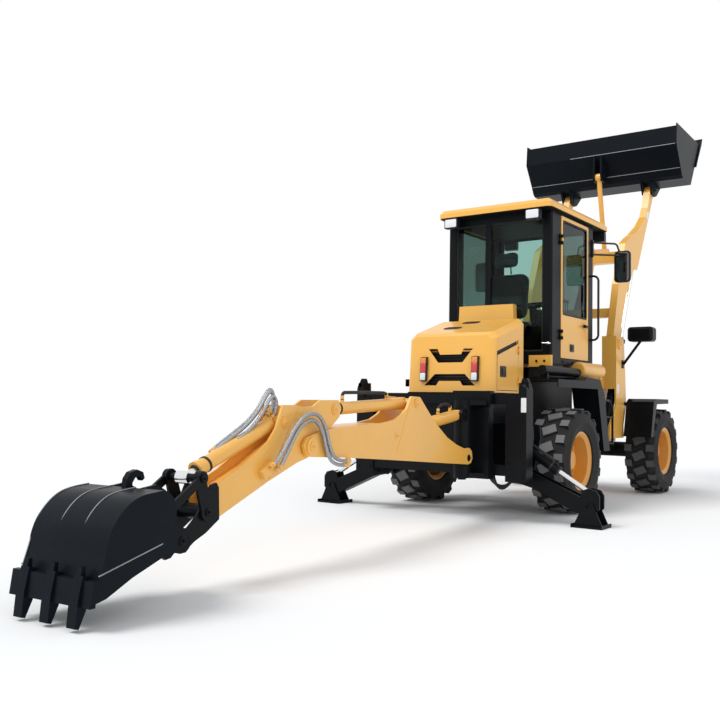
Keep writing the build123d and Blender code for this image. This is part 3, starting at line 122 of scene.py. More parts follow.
# %% Floor
floor_mesh = bpy.data.meshes.new("floor")
reach = 70.0
floor_corners = [(-reach, -reach, 0), (reach, -reach, 0), (reach, reach, 0), (-reach, reach, 0)]
floor_mesh.from_pydata(floor_corners, [], [(0, 1, 2, 3)])
floor = bpy.data.objects.new("floor", floor_mesh)
bpy.context.scene.collection.objects.link(floor)
floor_paint, tree, out = shader("pale_floor")
matte = node(tree, "BsdfDiffuse")
matte.inputs["Color"].default_value = (0.93, 0.93, 0.93, 1)
tree.links.new(matte.outputs[0], out.inputs["Surface"])
floor_mesh.materials.append(floor_paint)
print("floor", 2 * reach, "m wide")

# %% Sky
world = bpy.data.worlds.new("sky")
bpy.context.scene.world = world
world.use_nodes = True
tree = world.node_tree
tree.nodes.clear()
seen = node(tree, "LightPath")
either = maths(tree, "MAXIMUM", seen.outputs["Is Camera Ray"], seen.outputs["Is Glossy Ray"])
looked_at = maths(tree, "MAXIMUM", either, seen.outputs["Is Transmission Ray"])
white = node(tree, "Background", Color=(1, 1, 1, 1), Strength=1.0)
soft = node(tree, "Background", Color=(0.92, 0.96, 1.0, 1), Strength=0.62)
mixed = node(tree, "MixShader", [(0, looked_at), (1, soft.outputs[0]), (2, white.outputs[0])])
node(tree, "OutputWorld", [("Surface", mixed.outputs[0])])
print("sky", world.name)


# %% Lamps
def sun(name, toward, strength, spread):
    """Distant lamp whose light travels along the direction given."""
    lamp = bpy.data.lights.new(name, "SUN")
    lamp.energy = strength
    lamp.angle = spread
    thing = bpy.data.objects.new(name, lamp)
    thing.rotation_euler = Vector(toward).to_track_quat("-Z", "Y").to_euler()
    bpy.context.scene.collection.objects.link(thing)


sun("key", (0.62, -0.35, -0.95), 1.75, 0.5)
sun("fill", (0.45, 0.85, -0.45), 0.55, 0.9)
bpy.context.scene.view_settings.view_transform = "Standard"
print("lamps", len(bpy.data.lights))

# %% [markdown]
# ## Shared surface effects
# Real paint is never one flat colour. Small node groups are used again and again: yard dust that is thick near
# the ground and thins upwards, the slow drift in tone and fine ripple of sprayed enamel, scuffs where steel has
# met soil, and the crossed strands of a braided hose. Each gives out only masks and heights; the paints decide
# what to do with them.

# %% Empty effect
def effect(name, inputs, outputs):
    """Empty node group with named number inputs and the outputs given; returns tree, input and output nodes."""
    group = bpy.data.node_groups.new(name, "ShaderNodeTree")
    for label, value in inputs.items():
        group.interface.new_socket(label, in_out="INPUT", socket_type="NodeSocketFloat").default_value = value
    for label in outputs:
        group.interface.new_socket(label, in_out="OUTPUT", socket_type="NodeSocketFloat")
    return group, group.nodes.new("NodeGroupInput"), group.nodes.new("NodeGroupOutput")


def stretch(tree, value, low, high, to_low=0.0, to_high=1.0):
    """Moves a number from one range to another and stops at its ends."""
    made = node(tree, "MapRange", [("Value", value)])
    for label, number in (("From Min", low), ("From Max", high), ("To Min", to_low), ("To Max", to_high)):
        if isinstance(number, (int, float)):
            made.inputs[label].default_value = number
        else:
            tree.links.new(number, made.inputs[label])
    return made.outputs[0]


# %% Yard dust
yard_dust, given, taken = effect("yard_dust", {"Scale": 3.0, "Top": 1.2, "Amount": 0.5}, ["Mask"])
where = node(yard_dust, "TexCoord").outputs["Object"]
height = node(yard_dust, "SeparateXYZ", [("Vector", where)]).outputs["Z"]
fade = stretch(yard_dust, height, 0.0, given.outputs["Top"], 1.0, 0.12)
cloud = node(yard_dust, "TexNoise", [("Vector", where), ("Scale", given.outputs["Scale"])],
             Detail=8.0, Roughness=0.65)
patches = stretch(yard_dust, cloud.outputs["Fac"], 0.38, 0.68)
dusty = maths(yard_dust, "MULTIPLY", maths(yard_dust, "MULTIPLY", fade, patches), given.outputs["Amount"])
yard_dust.links.new(dusty, taken.inputs["Mask"])

# %% Sprayed enamel
spray, given, taken = effect("sprayed_enamel", {"Drift": 1.4, "Ripple": 160.0}, ["Tone", "Height"])
where = node(spray, "TexCoord").outputs["Object"]
drift = node(spray, "TexNoise", [("Vector", where), ("Scale", given.outputs["Drift"])], Detail=4.0)
ripple = node(spray, "TexNoise", [("Vector", where), ("Scale", given.outputs["Ripple"])], Detail=3.0)
spray.links.new(drift.outputs["Fac"], taken.inputs["Tone"])
spray.links.new(ripple.outputs["Fac"], taken.inputs["Height"])

# %% Scuffs
scuffs, given, taken = effect("soil_scuffs", {"Scale": 9.0, "Amount": 0.4}, ["Mask"])
where = node(scuffs, "TexCoord").outputs["Object"]
long = node(scuffs, "Mapping", [("Vector", where)], Scale=(1.0, 4.0, 2.2), Rotation=(0.3, 0.5, 0.2))
streaks = node(scuffs, "TexNoise", [("Vector", long.outputs[0]), ("Scale", given.outputs["Scale"])],
               Detail=12.0, Roughness=0.72)
marked = maths(scuffs, "MULTIPLY", stretch(scuffs, streaks.outputs["Fac"], 0.56, 0.7), given.outputs["Amount"])
scuffs.links.new(marked, taken.inputs["Mask"])

# %% Braid
full_turn = 6.28319  # in radians
braid, given, taken = effect("braid", {"Turns": 55.0, "Strands": 5.0}, ["Height"])
lay = node(braid, "SeparateXYZ", [("Vector", node(braid, "UVMap").outputs[0])])
ahead = maths(braid, "MULTIPLY", lay.outputs["X"], given.outputs["Turns"])
round_it = maths(braid, "MULTIPLY", lay.outputs["Y"], given.outputs["Strands"])
strands = []
for way in ("ADD", "SUBTRACT"):
    turn = maths(braid, "MULTIPLY", maths(braid, way, ahead, round_it), full_turn)
    strands.append(maths(braid, "SINE", turn))
crossed = maths(braid, "MULTIPLY", strands[0], strands[1])
braid.links.new(stretch(braid, crossed, -0.6, 0.6), taken.inputs["Height"])
print("effects", len(bpy.data.node_groups))


# %% [markdown]
# ## Paint, steel, rubber and glass
# All the paints share one recipe: a colour that drifts a little, bare or rubbed marks where the part works in
# soil, dust laid over it, and a faint ripple in the gloss. Their numbers differ, not their structure.

# %% Paint recipe
def blended(tree, mask, colour, over):
    """Lays one plain colour over another wherever the mask is bright."""
    made = node(tree, "Mix", [("Factor", mask)], data_type="RGBA")
    if isinstance(colour, tuple):
        made.inputs[6].default_value = colour
    else:
        tree.links.new(colour, made.inputs[6])
    made.inputs[7].default_value = over
    return made.outputs[2]


dust_colour, dust_rough, scuff_rough, coat_rough = (0.42, 0.37, 0.3), 0.9, 0.45, 0.12
lug_blur = 0.004  # metres over which a tyre's paler lug tops fade out, worn and partly a painted highlight


def paint(name, colour, rough, dust=0.35, dust_top=1.2, drift=0.12, scuff=0.0, scuff_colour=(0.2, 0.2, 0.21),
          metallic=0.0, coat=0.0, ripple=0.04, ripple_scale=160.0, gloss=0.5, braided=False, worn_and_lit=None):
    """Painted or bare surface: colour drifts by `drift`, then scuffs, then dust over all.

    The last argument = (ahead, height, radius, colour) is for a tyre: rubber further than the radius from the hub
    line is the top of a lug, made paler: partly rubbed by the ground, partly a painted highlight where it faces
    the light.
    """
    material, tree, out = shader(name)
    skin = node(tree, "BsdfPrincipled", Metallic=metallic)
    for label, value in (("Coat Weight", coat), ("Coat Roughness", coat_rough), ("Specular IOR Level", gloss)):
        skin.inputs[label].default_value = value
    tone = node(tree, "Group", node_tree=spray)
    tone.inputs["Ripple"].default_value = ripple_scale
    darker = tuple(c * (1 - drift) for c in colour) + (1,)
    lighter = tuple(min(1, c * (1 + drift)) for c in colour) + (1,)
    colour_now = blended(tree, tone.outputs["Tone"], darker, lighter)
    height_now = tone.outputs["Height"]
    # painted light in part: tyre lug tops are made paler, as dust and wear and as a painted highlight where they face
    # the light
    if worn_and_lit:
        ahead, high, radius, pale = worn_and_lit
        hub = node(tree, "Mapping", [("Vector", node(tree, "TexCoord").outputs["Object"])],
                   Location=(-ahead, 0.0, -high), Scale=(1.0, 0.0, 1.0))
        away = node(tree, "VectorMath", [(0, hub.outputs[0])], operation="LENGTH")
        top = stretch(tree, away.outputs["Value"], radius - lug_blur, radius + lug_blur)
        patchy = maths(tree, "MULTIPLY", top, stretch(tree, tone.outputs["Tone"], 0.2, 0.6, 0.55, 1.0))
        colour_now = blended(tree, patchy, colour_now, pale + (1,))
    if braided:
        woven = node(tree, "Group", node_tree=braid)
        height_now = woven.outputs["Height"]
        gaps = stretch(tree, height_now, 0.5, 0.0)
        colour_now = blended(tree, gaps, colour_now, tuple(c * 0.25 for c in colour) + (1,))
    rough_now = stretch(tree, tone.outputs["Height"], 0.0, 1.0, rough * 0.85, rough * 1.15)
    layers = []
    if scuff:
        mark = node(tree, "Group", node_tree=scuffs)
        mark.inputs["Amount"].default_value = scuff
        layers.append((mark.outputs["Mask"], scuff_colour, scuff_rough))
    if dust:
        mark = node(tree, "Group", node_tree=yard_dust)
        mark.inputs["Amount"].default_value = dust
        mark.inputs["Top"].default_value = dust_top
        layers.append((mark.outputs["Mask"], dust_colour, dust_rough))
    for mask, over, over_rough in layers:
        colour_now = blended(tree, mask, colour_now, over + (1,))
        rough_mix = node(tree, "Mix", [("Factor", mask)], data_type="FLOAT")
        tree.links.new(rough_now, rough_mix.inputs[2])
        rough_mix.inputs[3].default_value = over_rough
        rough_now = rough_mix.outputs[0]
    tree.links.new(colour_now, skin.inputs["Base Color"])
    tree.links.new(rough_now, skin.inputs["Roughness"])
    bump = node(tree, "Bump", [("Height", height_now)], Strength=ripple, Distance=0.002)
    tree.links.new(bump.outputs[0], skin.inputs["Normal"])
    tree.links.new(skin.outputs[0], out.inputs["Surface"])
    return material


# %% The machine's finishes
yellow = paint("yellow_enamel", (0.87, 0.45, 0.075), 0.34, dust=0.16, dust_top=2.4, drift=0.06, coat=0.25)
# the rims' deeper orange is partly their own paint and partly painted shade, darker than the lit yellow
rim_orange_and_shade = paint("rim_enamel_and_shade", (0.68, 0.3, 0.04), 0.36, dust=0.2, dust_top=1.4, drift=0.1, coat=0.2)
black = paint("black_enamel", (0.0042, 0.005, 0.0066), 0.36, dust=0.008, dust_top=1.6, drift=0.25, gloss=0.1)
digging_black = paint("bucket_black", (0.0045, 0.007, 0.0105), 0.36, dust=0.006, dust_top=1.0, drift=0.4,
                      scuff=0.12, scuff_colour=(0.03, 0.034, 0.038), gloss=0.07)
rod_chrome = paint("rod_chrome", (0.78, 0.79, 0.8), 0.12, dust=0.06, dust_top=3.0, drift=0.02, metallic=1.0,
                   ripple=0.0)
iron = paint("engine_iron", (0.05, 0.05, 0.05), 0.6, dust=0.2, dust_top=2.5, drift=0.25, ripple=0.2, gloss=0.3)
trim = paint("cab_trim", (0.004, 0.0055, 0.0055), 0.6, dust=0.006, dust_top=4.0, drift=0.15, ripple=0.25,
             ripple_scale=500.0, gloss=0.12)
lamp_black = paint("lamp_plastic", (0.012, 0.012, 0.014), 0.42, dust=0.05, dust_top=3.5, drift=0.15, ripple=0.1,
                   ripple_scale=700.0, gloss=0.35)
rubber = paint("seal_rubber", (0.008, 0.008, 0.009), 0.55, dust=0.1, dust_top=1.5, drift=0.2, ripple=0.15,
               ripple_scale=400.0, gloss=0.3)
steel_braid = paint("steel_braid", (0.5, 0.51, 0.53), 0.26, dust=0.03, drift=0.15, metallic=0.95, ripple=0.9,
                    braided=True)
weld_grey = paint("weld_bead", (0.3, 0.32, 0.34), 0.45, dust=0.05, drift=0.3, metallic=0.3, ripple=0.5,
                  ripple_scale=240.0)
lens_clear = paint("lens_clear", (0.78, 0.8, 0.82), 0.16, dust=0.05, dust_top=4.0, drift=0.12, coat=0.6, ripple=0.7,
                   ripple_scale=90.0)
lens_red, lens_amber = [
    paint(name, colour, 0.2, dust=0.04, dust_top=4.0, drift=0.2, coat=0.6, ripple=0.4, ripple_scale=120.0)
    for name, colour in (("lens_red", (0.62, 0.02, 0.035)), ("lens_amber", (0.8, 0.22, 0.03)))]
label_white = paint("blank_label", (0.8, 0.8, 0.77), 0.4, dust=0.12, dust_top=4.0, drift=0.04, ripple=0.02)
mirror_silver = paint("mirror_silver", (0.12, 0.13, 0.14), 0.06, dust=0.04, dust_top=4.0, drift=0.05,
                      metallic=1.0, ripple=0.0)
leather = paint("seat_leather", (0.009, 0.014, 0.0145), 0.3, dust=0.006, dust_top=4.0, drift=0.35, coat=0.06,
                ripple=0.5, ripple_scale=130.0, gloss=0.3)
wheelbase, axle_height, lug_top_radius = 2.8, 0.532, 0.521  # metres; lugs are paler beyond the last radius, partly worn and partly a painted highlight
# front and rear are one rubber; the front copy's darker lug tops are painted shade
tyre_paints = {
    end: paint(f"tyre_rubber_{end}", (0.009, 0.009, 0.01), 0.75, dust=0.06, dust_top=0.9, drift=0.3, ripple=0.3,
               ripple_scale=220.0, gloss=0.3, worn_and_lit=(ahead, axle_height, lug_top_radius, (pale, pale, pale * 1.03)))
    for end, ahead, pale in (("rear", rear_axle, 0.17), ("front", rear_axle + wheelbase, 0.09))
}
print("finishes", len(bpy.data.materials))


# %% Glass
def glazing(name, tint_and_shade):
    """Clear or tinted glass: light passes straight on, with a plain colour that is partly painted shade, and a faint
    ripple in its gloss.
    """
    material, tree, out = shader(name)
    pane = node(tree, "BsdfPrincipled", Metallic=0.0, Roughness=0.0, IOR=1.2)
    pane.inputs["Base Color"].default_value = tint_and_shade + (1,)
    pane.inputs["Transmission Weight"].default_value = 1.0
    pane.inputs["Specular IOR Level"].default_value = 0.12
    tone = node(tree, "Group", node_tree=spray)
    tone.inputs["Ripple"].default_value = 3.0
    bump = node(tree, "Bump", [("Height", tone.outputs["Height"])], Strength=0.02, Distance=0.002)
    tree.links.new(bump.outputs[0], pane.inputs["Normal"])
    tree.links.new(pane.outputs[0], out.inputs["Surface"])
    return material


# painted shade: the cab glass's green tint is partly its own and partly darkened for the shaded inside; the door
# glass is darkened much further, standing for the dark cab behind it
cab_glazing = glazing("cab_glazing", (0.5, 0.68, 0.64))
door_glazing_painted_shade = glazing("door_glazing_painted_shade", (0.11, 0.165, 0.15))
print("glass", cab_glazing.name, door_glazing_painted_shade.name)

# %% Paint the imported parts
slot_paint = {
    "yellow_paint": yellow, "black_paint": black, "tyre_rubber": tyre_paints["rear"], "chrome_rod": rod_chrome,
    "clear_glass": cab_glazing, "engine_iron": iron, "cab_plastic": trim, "lamp_plastic": lamp_black,
}
special = {"loader_bucket": digging_black, "backhoe_bucket": digging_black}
for hand in ("left", "right"):
    special["door_glass_" + hand] = door_glazing_painted_shade
    special["tyre_front_" + hand] = tyre_paints["front"]
    for end in ("rear", "front"):
        special[f"rim_{end}_{hand}"] = rim_orange_and_shade
slot_of = {row["node"]: row["material_slot"] for row in frame["record"]["subparts"]}
for name, thing in frame["nodes"].items():
    thing.data.materials.clear()
    thing.data.materials.append(special.get(name, slot_paint[slot_of[name]]))
print("painted", len(frame["nodes"]), "nodes")

# %% [markdown]
# ## How the small parts are made
# Every small part is a closed skin laid over rings of points: a lens is a rounded outline repeated at rising
# heights, a hose is a circle carried along a smooth path, a gasket is a bead carried round a window. The rings
# are worked out as whole arrays, which is quicker and tidier than pushing points about by hand. Places are
# given in millimetres as on a workshop drawing: ahead of the rear axle, left of the middle, above the ground.

# %% Skin over rings
def skinned(name, skins, body, finish, wrap=False, crease=35.0):
    """One piece of closed skins: point j of ring i joins its neighbours in the ring and in the next ring.

    Each skin is an array of (rings, points, 3) in metres. The first and last rings are filled in, or joined to
    each other when wrap is true. The UV map holds metres along the rings and the share of the way round.
    """
    points, faces, lay, base = [], [], [], 0
    for skin in skins:
        rings, around = skin.shape[:2]
        index = base + np.arange(rings * around).reshape(rings, around)
        above = np.roll(index, -1, 0)
        rows = np.arange(rings if wrap else rings - 1)
        quads = np.stack((index, np.roll(index, -1, 1), np.roll(above, -1, 1), above), -1)[rows]
        steps = np.linalg.norm(np.roll(skin, -1, 0) - skin, axis=2).mean(1)
        along = np.concatenate(([0.0], steps.cumsum()))
        low, high = (np.repeat(along[rows + k], around) for k in (0, 1))
        share = np.tile(np.arange(around) / around, len(rows))
        lay.append(np.stack((low, share, low, share + 1 / around, high, share + 1 / around, high, share), -1).ravel())
        faces += quads.reshape(-1, 4).tolist()
        if not wrap:
            faces += [index[0, ::-1].tolist(), index[-1].tolist()]
            lay.append(np.zeros(4 * around))
        points.append(skin.reshape(-1, 3))
        base += rings * around
    mesh = bpy.data.meshes.new(name)
    mesh.from_pydata(np.concatenate(points), [], faces)
    mesh.uv_layers.new(name="lay").uv.foreach_set("vector", np.concatenate(lay))
    bm = bmesh.new()
    bm.from_mesh(mesh)
    bmesh.ops.recalc_face_normals(bm, faces=bm.faces)
    bm.to_mesh(mesh)
    bm.free()
    mesh.shade_smooth()
    mesh.set_sharp_from_angle(angle=np.radians(crease))
    mesh.materials.append(finish)
    piece = bpy.data.objects.new(name, mesh)
    bpy.context.scene.collection.objects.link(piece)
    if body:
        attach(piece, body)
    return piece


# %% Places
slew = np.radians(3.7)  # the backhoe is swung a little to the side
rearward = np.array((-np.cos(slew), -np.sin(slew), 0.0))
leftward = np.array((-np.sin(slew), np.cos(slew), 0.0))
kingpin_back, carriage_left = 1.4, -0.408  # metres behind the rear axle, and left of the middle
kingpin = np.array((rear_axle - kingpin_back, carriage_left, 0.0))
right, left, ahead, behind, top = (0, -1, 0), (0, 1, 0), (1, 0, 0), (-1, 0, 0), (0, 0, 1)
both_hands = ((1, "left"), (-1, "right"))


def at(*spot):
    """Metres of a place, or rows of them, given in millimetres ahead of the rear axle, left and up."""
    return np.asarray(spot[0] if len(spot) == 1 else spot, float) / 1000 + (rear_axle, 0.0, 0.0)


def on_boom(*spot):
    """Metres of a place, or rows of them, in millimetres behind the kingpin, up, and left of the boom's middle."""
    back, up, left = np.moveaxis(np.asarray(spot[0] if len(spot) == 1 else spot, float) / 1000, -1, 0)
    return kingpin + back[..., None] * rearward + left[..., None] * leftward + up[..., None] * (0.0, 0.0, 1.0)


def unit(vector):
    """Vector, or rows of them, cut to length one."""
    vector = np.asarray(vector, float)
    return vector / np.linalg.norm(vector, axis=-1, keepdims=True)


print("kingpin at", kingpin.round(3))


# %% Smooth paths and round rings
def smooth(points, rounds=4):
    """Smooth path from a few points: every run is cut at a quarter and at three quarters, over and over."""
    path = np.asarray(points, float)
    for _ in range(rounds):
        near, far = path[:-1], path[1:]
        cut = np.stack((0.75 * near + 0.25 * far, 0.25 * near + 0.75 * far), 1).reshape(-1, 3)
        path = np.concatenate((path[:1], cut, path[-1:]))
    return path


def evenly(path, step):
    """Path with its points spaced evenly, about one step apart."""
    gone = np.concatenate(([0.0], np.linalg.norm(np.diff(path, axis=0), axis=1).cumsum()))
    marks = np.linspace(0, gone[-1], max(3, int(gone[-1] / step)))
    return np.stack([np.interp(marks, gone, path[:, k]) for k in range(3)], 1)


def round_rings(path, radius, start=(0.0, 0.0, 1.0), around=12):
    """Circle square to the path at each of its points; radius is one number, or one for each point."""
    run = unit(np.gradient(path, axis=0))
    across = unit(np.cross(run, start))
    up = np.cross(across, run)
    turn = np.linspace(0, 2 * np.pi, around, endpoint=False)[:, None]
    wide = np.broadcast_to(radius, len(path))[:, None, None]
    return path[:, None] + wide * (np.cos(turn) * across[:, None] + np.sin(turn) * up[:, None])


def turned(middle, out, profile, around=24):
    """Lathe work: profile is rows of (radius, height along out) in millimetres, carried round the axis."""
    profile = np.asarray(profile, float) / 1000
    out = unit(out)
    across = unit(np.cross(out, (0.31, 0.17, 0.93)))
    up = np.cross(out, across)
    turn = np.linspace(0, 2 * np.pi, around, endpoint=False)[:, None]
    circle = np.cos(turn) * across + np.sin(turn) * up
    return np.asarray(middle) + profile[:, :1, None] * circle + profile[:, 1:, None] * out


# %% Rounded plates and window beads
def outline(width, height, corner, steps=6):
    """Rectangle with round corners: a quarter circle at each corner, as rows of (across, up)."""
    turn = (np.linspace(0, 0.5, steps) + np.arange(4)[:, None] * 0.5) * np.pi
    signs = np.array(((1, 1), (-1, 1), (-1, -1), (1, -1)))[:, None]
    middle = signs * (np.array((width, height)) / 2 - corner)
    return (middle + corner * np.stack((np.cos(turn), np.sin(turn)), -1)).reshape(-1, 2)


def plate_rings(middle, across, up, width, height, thick, corner, crown=0.0, edge=0.25):
    """Rounded plate in millimetres: the outline at rising heights, drawn in at its top edge, then crowned."""
    across, up = unit(across), unit(up)
    out = np.cross(across, up)
    edge = edge * thick
    levels = [(0, 0), (0, thick - edge), (0.3 * edge, thick - 0.3 * edge), (edge, thick)]
    room = min(width, height) / 2
    levels += [(edge + share * (room - edge), thick + crown * (1 - (1 - share) ** 2))
               for share in (0.25, 0.5, 0.75, 0.96)]
    rings = []
    for inset, tall in levels:
        flat = outline(width - 2 * inset, height - 2 * inset, max(corner - inset, 0.02 * room)) / 1000
        rings.append(middle + flat[:, :1] * across + flat[:, 1:] * up + tall / 1000 * out)
    return np.array(rings)


def bead_rings(middle, across, up, width, height, corner, wide, thick):
    """Rubber bead round a rounded rectangle; its section, wide by thick millimetres, is a flat-sided ellipse.

    The section is sign(cos) |cos|^0.5 wide / 2 across and sign(sin) |sin|^0.5 thick / 2 outwards.
    """
    across, up = unit(across), unit(up)
    flat = outline(width, height, corner, 8) / 1000
    path = middle + flat[:, :1] * across + flat[:, 1:] * up
    out = np.cross(across, up)
    run = unit(np.roll(path, -1, 0) - np.roll(path, 1, 0))
    inward = np.cross(out, run)
    turn = np.linspace(0, 2 * np.pi, 10, endpoint=False)[:, None]
    broad = np.sign(np.cos(turn)) * np.abs(np.cos(turn)) ** 0.5 * wide
    deep = np.sign(np.sin(turn)) * np.abs(np.sin(turn)) ** 0.5 * thick
    return path[:, None] + (broad * inward[:, None] + deep * out) / 2000


def hexagon(middle, out, size, tall):
    """Bolt head: a six-sided ring raised by its height, with its top edge taken off, and a washer under it."""
    return [turned(middle, out, ((1.25 * size, 0), (1.25 * size, 0.12 * tall), (1.1 * size, 0.2 * tall)), 16),
            turned(middle, out, ((size, 0.1 * tall), (size, 0.85 * tall), (0.86 * size, tall)), 6)]


# %% [markdown]
# ## Lamps and mirrors
# A work lamp is a black box with a clear lens pressed into its face. Tail lamps are one moulding in three
# colours. The lenses are rounded plates with a crown, and a ripple in their paint stands for the moulded ribs
# that spread the beam.

# %% Work lamps and headlamps
lamp_wide, lamp_tall, lamp_corner, rim_room = 146, 92, 16, 4
lamp_rows = [(at(-30, y, 3111), right) for y in (522, -466)] + [(at(1644, y, 3111), left) for y in (572, -572)]
skinned("work_lamp_lenses", [plate_rings(spot, across, top, lamp_wide, lamp_tall, 7, lamp_corner, 5)
                             for spot, across in lamp_rows], "machine", lens_clear)
skinned("work_lamp_rims", [bead_rings(spot + np.array(np.cross(across, top)) * rim_room / 1000, across, top,
                                      lamp_wide + rim_room, lamp_tall + rim_room, lamp_corner, 9, 8)
                           for spot, across in lamp_rows], "machine", lamp_black, wrap=True)
skinned("headlamp_lenses", [plate_rings(at(2270, y, 1975), left, top, 262, 132, 8, 36, 9) for y in (905, -905)],
        "front_frame", lens_clear)
skinned("headlamp_rims", [bead_rings(at(2273, y, 1975), left, top, 272, 142, 38, 12, 9) for y in (905, -905)],
        "front_frame", lamp_black, wrap=True)

# %% Tail lamps
rear_run, rear_rise = 35, 561  # the hood's rear face leans forward by this much
lean = unit((rear_run, 0, rear_rise))
for name, finish, low, high in (("tail_lens_white", lens_clear, 1322, 1396), ("tail_lens_red", lens_red, 1400, 1486),
                                ("tail_lens_amber", lens_amber, 1490, 1548)):
    middle = (low + high) / 2
    face = -977.3 + rear_run * (middle - 1204) / rear_rise
    skinned(name, [plate_rings(at(face, y, middle), right, lean, 60, high - low, 7, 9, 4) for y in (292, -292)],
            "machine", finish)

# %% Mirror glasses
skinned("mirror_glasses", [plate_rings(at(1468, y, 2715), right, top, 158, 336, 3, 34, 2) for y in (914, -914)],
        "machine", mirror_silver)
print("work lamps", len(lamp_rows), "headlamps 2, tail lamps 2")

# %% [markdown]
# ## Cab: window rubbers, roof lining, handles and latches
# Glass sits in a rubber bead that hides the cut edge of the sheet. The bead is a flat-sided section carried
# round the opening. The roof's underside is a black moulded panel, with a second black panel under it that is
# partly lining and partly painted shade for the dark under the roof. A door has a grip and a latch, and an
# engine lid has a latch.

# %% Window rubbers
for hand, name in both_hands:
    side_way = behind if hand > 0 else ahead
    skinned("window_rubber_" + name, [bead_rings(at(745, hand * y, 2586), side_way, top, 688, 1022, 34, 26, 9)
                                      for y in (628, 606)], "door_" + name, rubber, wrap=True)
    skinned("door_grip_" + name, [plate_rings(at(996, hand * 654, 1985), side_way, top, 132, 34, 24, 14, 3, 0.5)],
            "door_" + name, trim)
    lock, hatch, out = at(650, hand * 632, 1720), at(-760, hand * 500, 1412), hand * np.array(left)
    skinned("door_latch_" + name, [plate_rings(lock, side_way, top, 104, 84, 9, 12, 3),
                                   plate_rings(lock + 0.009 * out, side_way, top, 66, 50, 9, 10, 3)],
            "door_" + name, lamp_black)
    skinned("lid_latch_" + name, [plate_rings(hatch, side_way, top, 122, 108, 8, 12, 2),
                                  plate_rings(hatch + 0.008 * out, side_way, top, 78, 66, 10, 14, 3)],
            "hood_door_" + name, lamp_black)
skinned("rear_window_rubber", [bead_rings(at(128, 0, 2372), right, top, 1048, 1420, 30, 30, 10)],
        "machine", rubber, wrap=True)
skinned("front_window_rubber", [bead_rings(at(1292, 0, 2413), left, top, 1048, 1380, 30, 26, 10)],
        "machine", rubber, wrap=True)

# %% Roof lining
skinned("roof_lining", [plate_rings(at(807, 0, 3175.5), right, behind, 1344, 1682, 8, 56, 0)],
        "machine", trim)
# partly painted shade: a second black crowned panel under the roof lining darkens the cab's top as seen through the
# glass
skinned("headliner_and_shade", [plate_rings(at(712, 0, 3126), right, behind, 1120, 1060, 16, 40, 8)],
        "machine", trim)

# %% Window catch
catch = at(114, -588, 1742)
bar_path = catch + np.array(((-42, 52, 4), (-45, 20, 1), (-45, -20, -1), (-42, -46, -4))) / 1000
skinned("window_catch", [turned(catch, behind, ((15, 0), (15, 5), (10, 8), (9, 34), (12, 36), (12, 44), (8, 47)), 20),
                         round_rings(evenly(smooth(bar_path), 0.006), 0.0065)],
        "machine", rod_chrome)
print("window catch at", catch.round(3))

# %% [markdown]
# ## Hood: what shows through its holes
# Painted shade: a black rounded plate in each hole and in the slot over each side door stands for the dark engine
# bay behind, so they look black from every side. A rubber edging is pressed on round each oval hole.

# %% Hood openings
hood_rise, hood_run = 175, 565  # the hood's top climbs by the first over the second
hood_up = unit((-hood_rise, 0, hood_run))
hood_fore = unit((hood_run, 0, hood_rise))
vents = [at(x, y, 1975 + (x + 300) * hood_rise / hood_run) for x, y in ((-400, 50), (-640, 135))]
# painted shade: black plates standing in the oval holes for the dark engine bay
skinned("hood_hole_shade_plates", [plate_rings(spot - 0.012 * hood_up, left, -hood_fore, 197, 97, 9, 48, 1.5) for spot in vents],
        "machine", rubber)
skinned("vent_edging", [bead_rings(spot, left, -hood_fore, 202, 102, 50, 6, 4) for spot in vents],
        "machine", rubber, wrap=True)
lid_up = unit((475.0, 0.0, 135.0))
for hand, name in both_hands:
    # painted shade: a black plate behind each side slot, for the dark engine bay
    along = -hand * lid_up
    slot_shade = plate_rings(at(-652, hand * 476, 1648), along, np.cross((0, hand, 0), along), 468, 92, 8, 10, 2)
    skinned("slot_shade_plate_" + name, [slot_shade], "machine", rubber)
print("vents", len(vents), "slots", len(both_hands))

# %% [markdown]
# ## Blank labels
# The machine carries a few stickers. They are kept as bare white plates with round corners, the thickness of a
# laminated label, with nothing written on them.

# %% Labels
def label(middle, across, up, wide, tall):
    """Blank label: a flat rounded plate 1.2 mm thick."""
    return plate_rings(middle, across, up, wide, tall, 1.2, 5, 0, 0.6)


arm_way = unit((0.5, 0.0, 0.866))
skinned("post_label", [label(at(-1185, -922, 1086), right, top, 52, 132)], "machine", label_white)
skinned("arm_labels", [label(at(3316, hand * 623, 3690), np.cross(arm_way, (0, hand, 0)), arm_way, 62, 118)
                       for hand in (1, -1)], "loader_arms", label_white)
skinned("tower_labels", [label(at(2036, hand * 668, 1300), np.cross(top, (0, hand, 0)), top, 70, 110)
                         for hand in (1, -1)], "front_frame", label_white)
print("labels", 5)

# %% [markdown]
# ## Pins, keeper discs and grease nipples
# Every hinge of a digger is a hardened pin held by a disc and a bolt, with a nipple for the grease gun. Three
# lathe profiles serve all of them: a disc with a rolled edge, a bolt head and a small nipple on top.

# %% Pin ends
def pin_end(spot, out, radius):
    """Keeper disc, bolt head and nipple on a pin's end."""
    out = unit(out)
    rim = [(share * radius, tall) for share, tall in ((1, -1), (1, 4), (0.93, 6), (0.6, 6), (0.5, 7))]
    disc = turned(spot, out, rim, 28)
    bolt = turned(spot + 0.006 * out, out, ((0.42 * radius, 0), (0.42 * radius, 7), (0.36 * radius, 9)), 6)
    nipple = turned(spot + 0.014 * out, out,
                    ((4, 0), (4, 4), (2.4, 5), (2.4, 8), (3.4, 9), (3.4, 11), (1.5, 12.5)), 10)
    return [disc, bolt, nipple]


def boom_pins(rows):
    """Pin ends on both sides of the boom's plane, for rows of (back, up, out, radius)."""
    return [part for back, up, out, radius in rows for hand in (1, -1)
            for part in pin_end(on_boom(back, up, hand * out), hand * leftward, radius)]


def side_pins(rows):
    """Pin ends on both sides of the machine, for rows of (ahead, up, out, radius)."""
    return [part for x, up, out, radius in rows for hand in (1, -1)
            for part in pin_end(at(x, hand * out, up), (0, hand, 0), radius)]


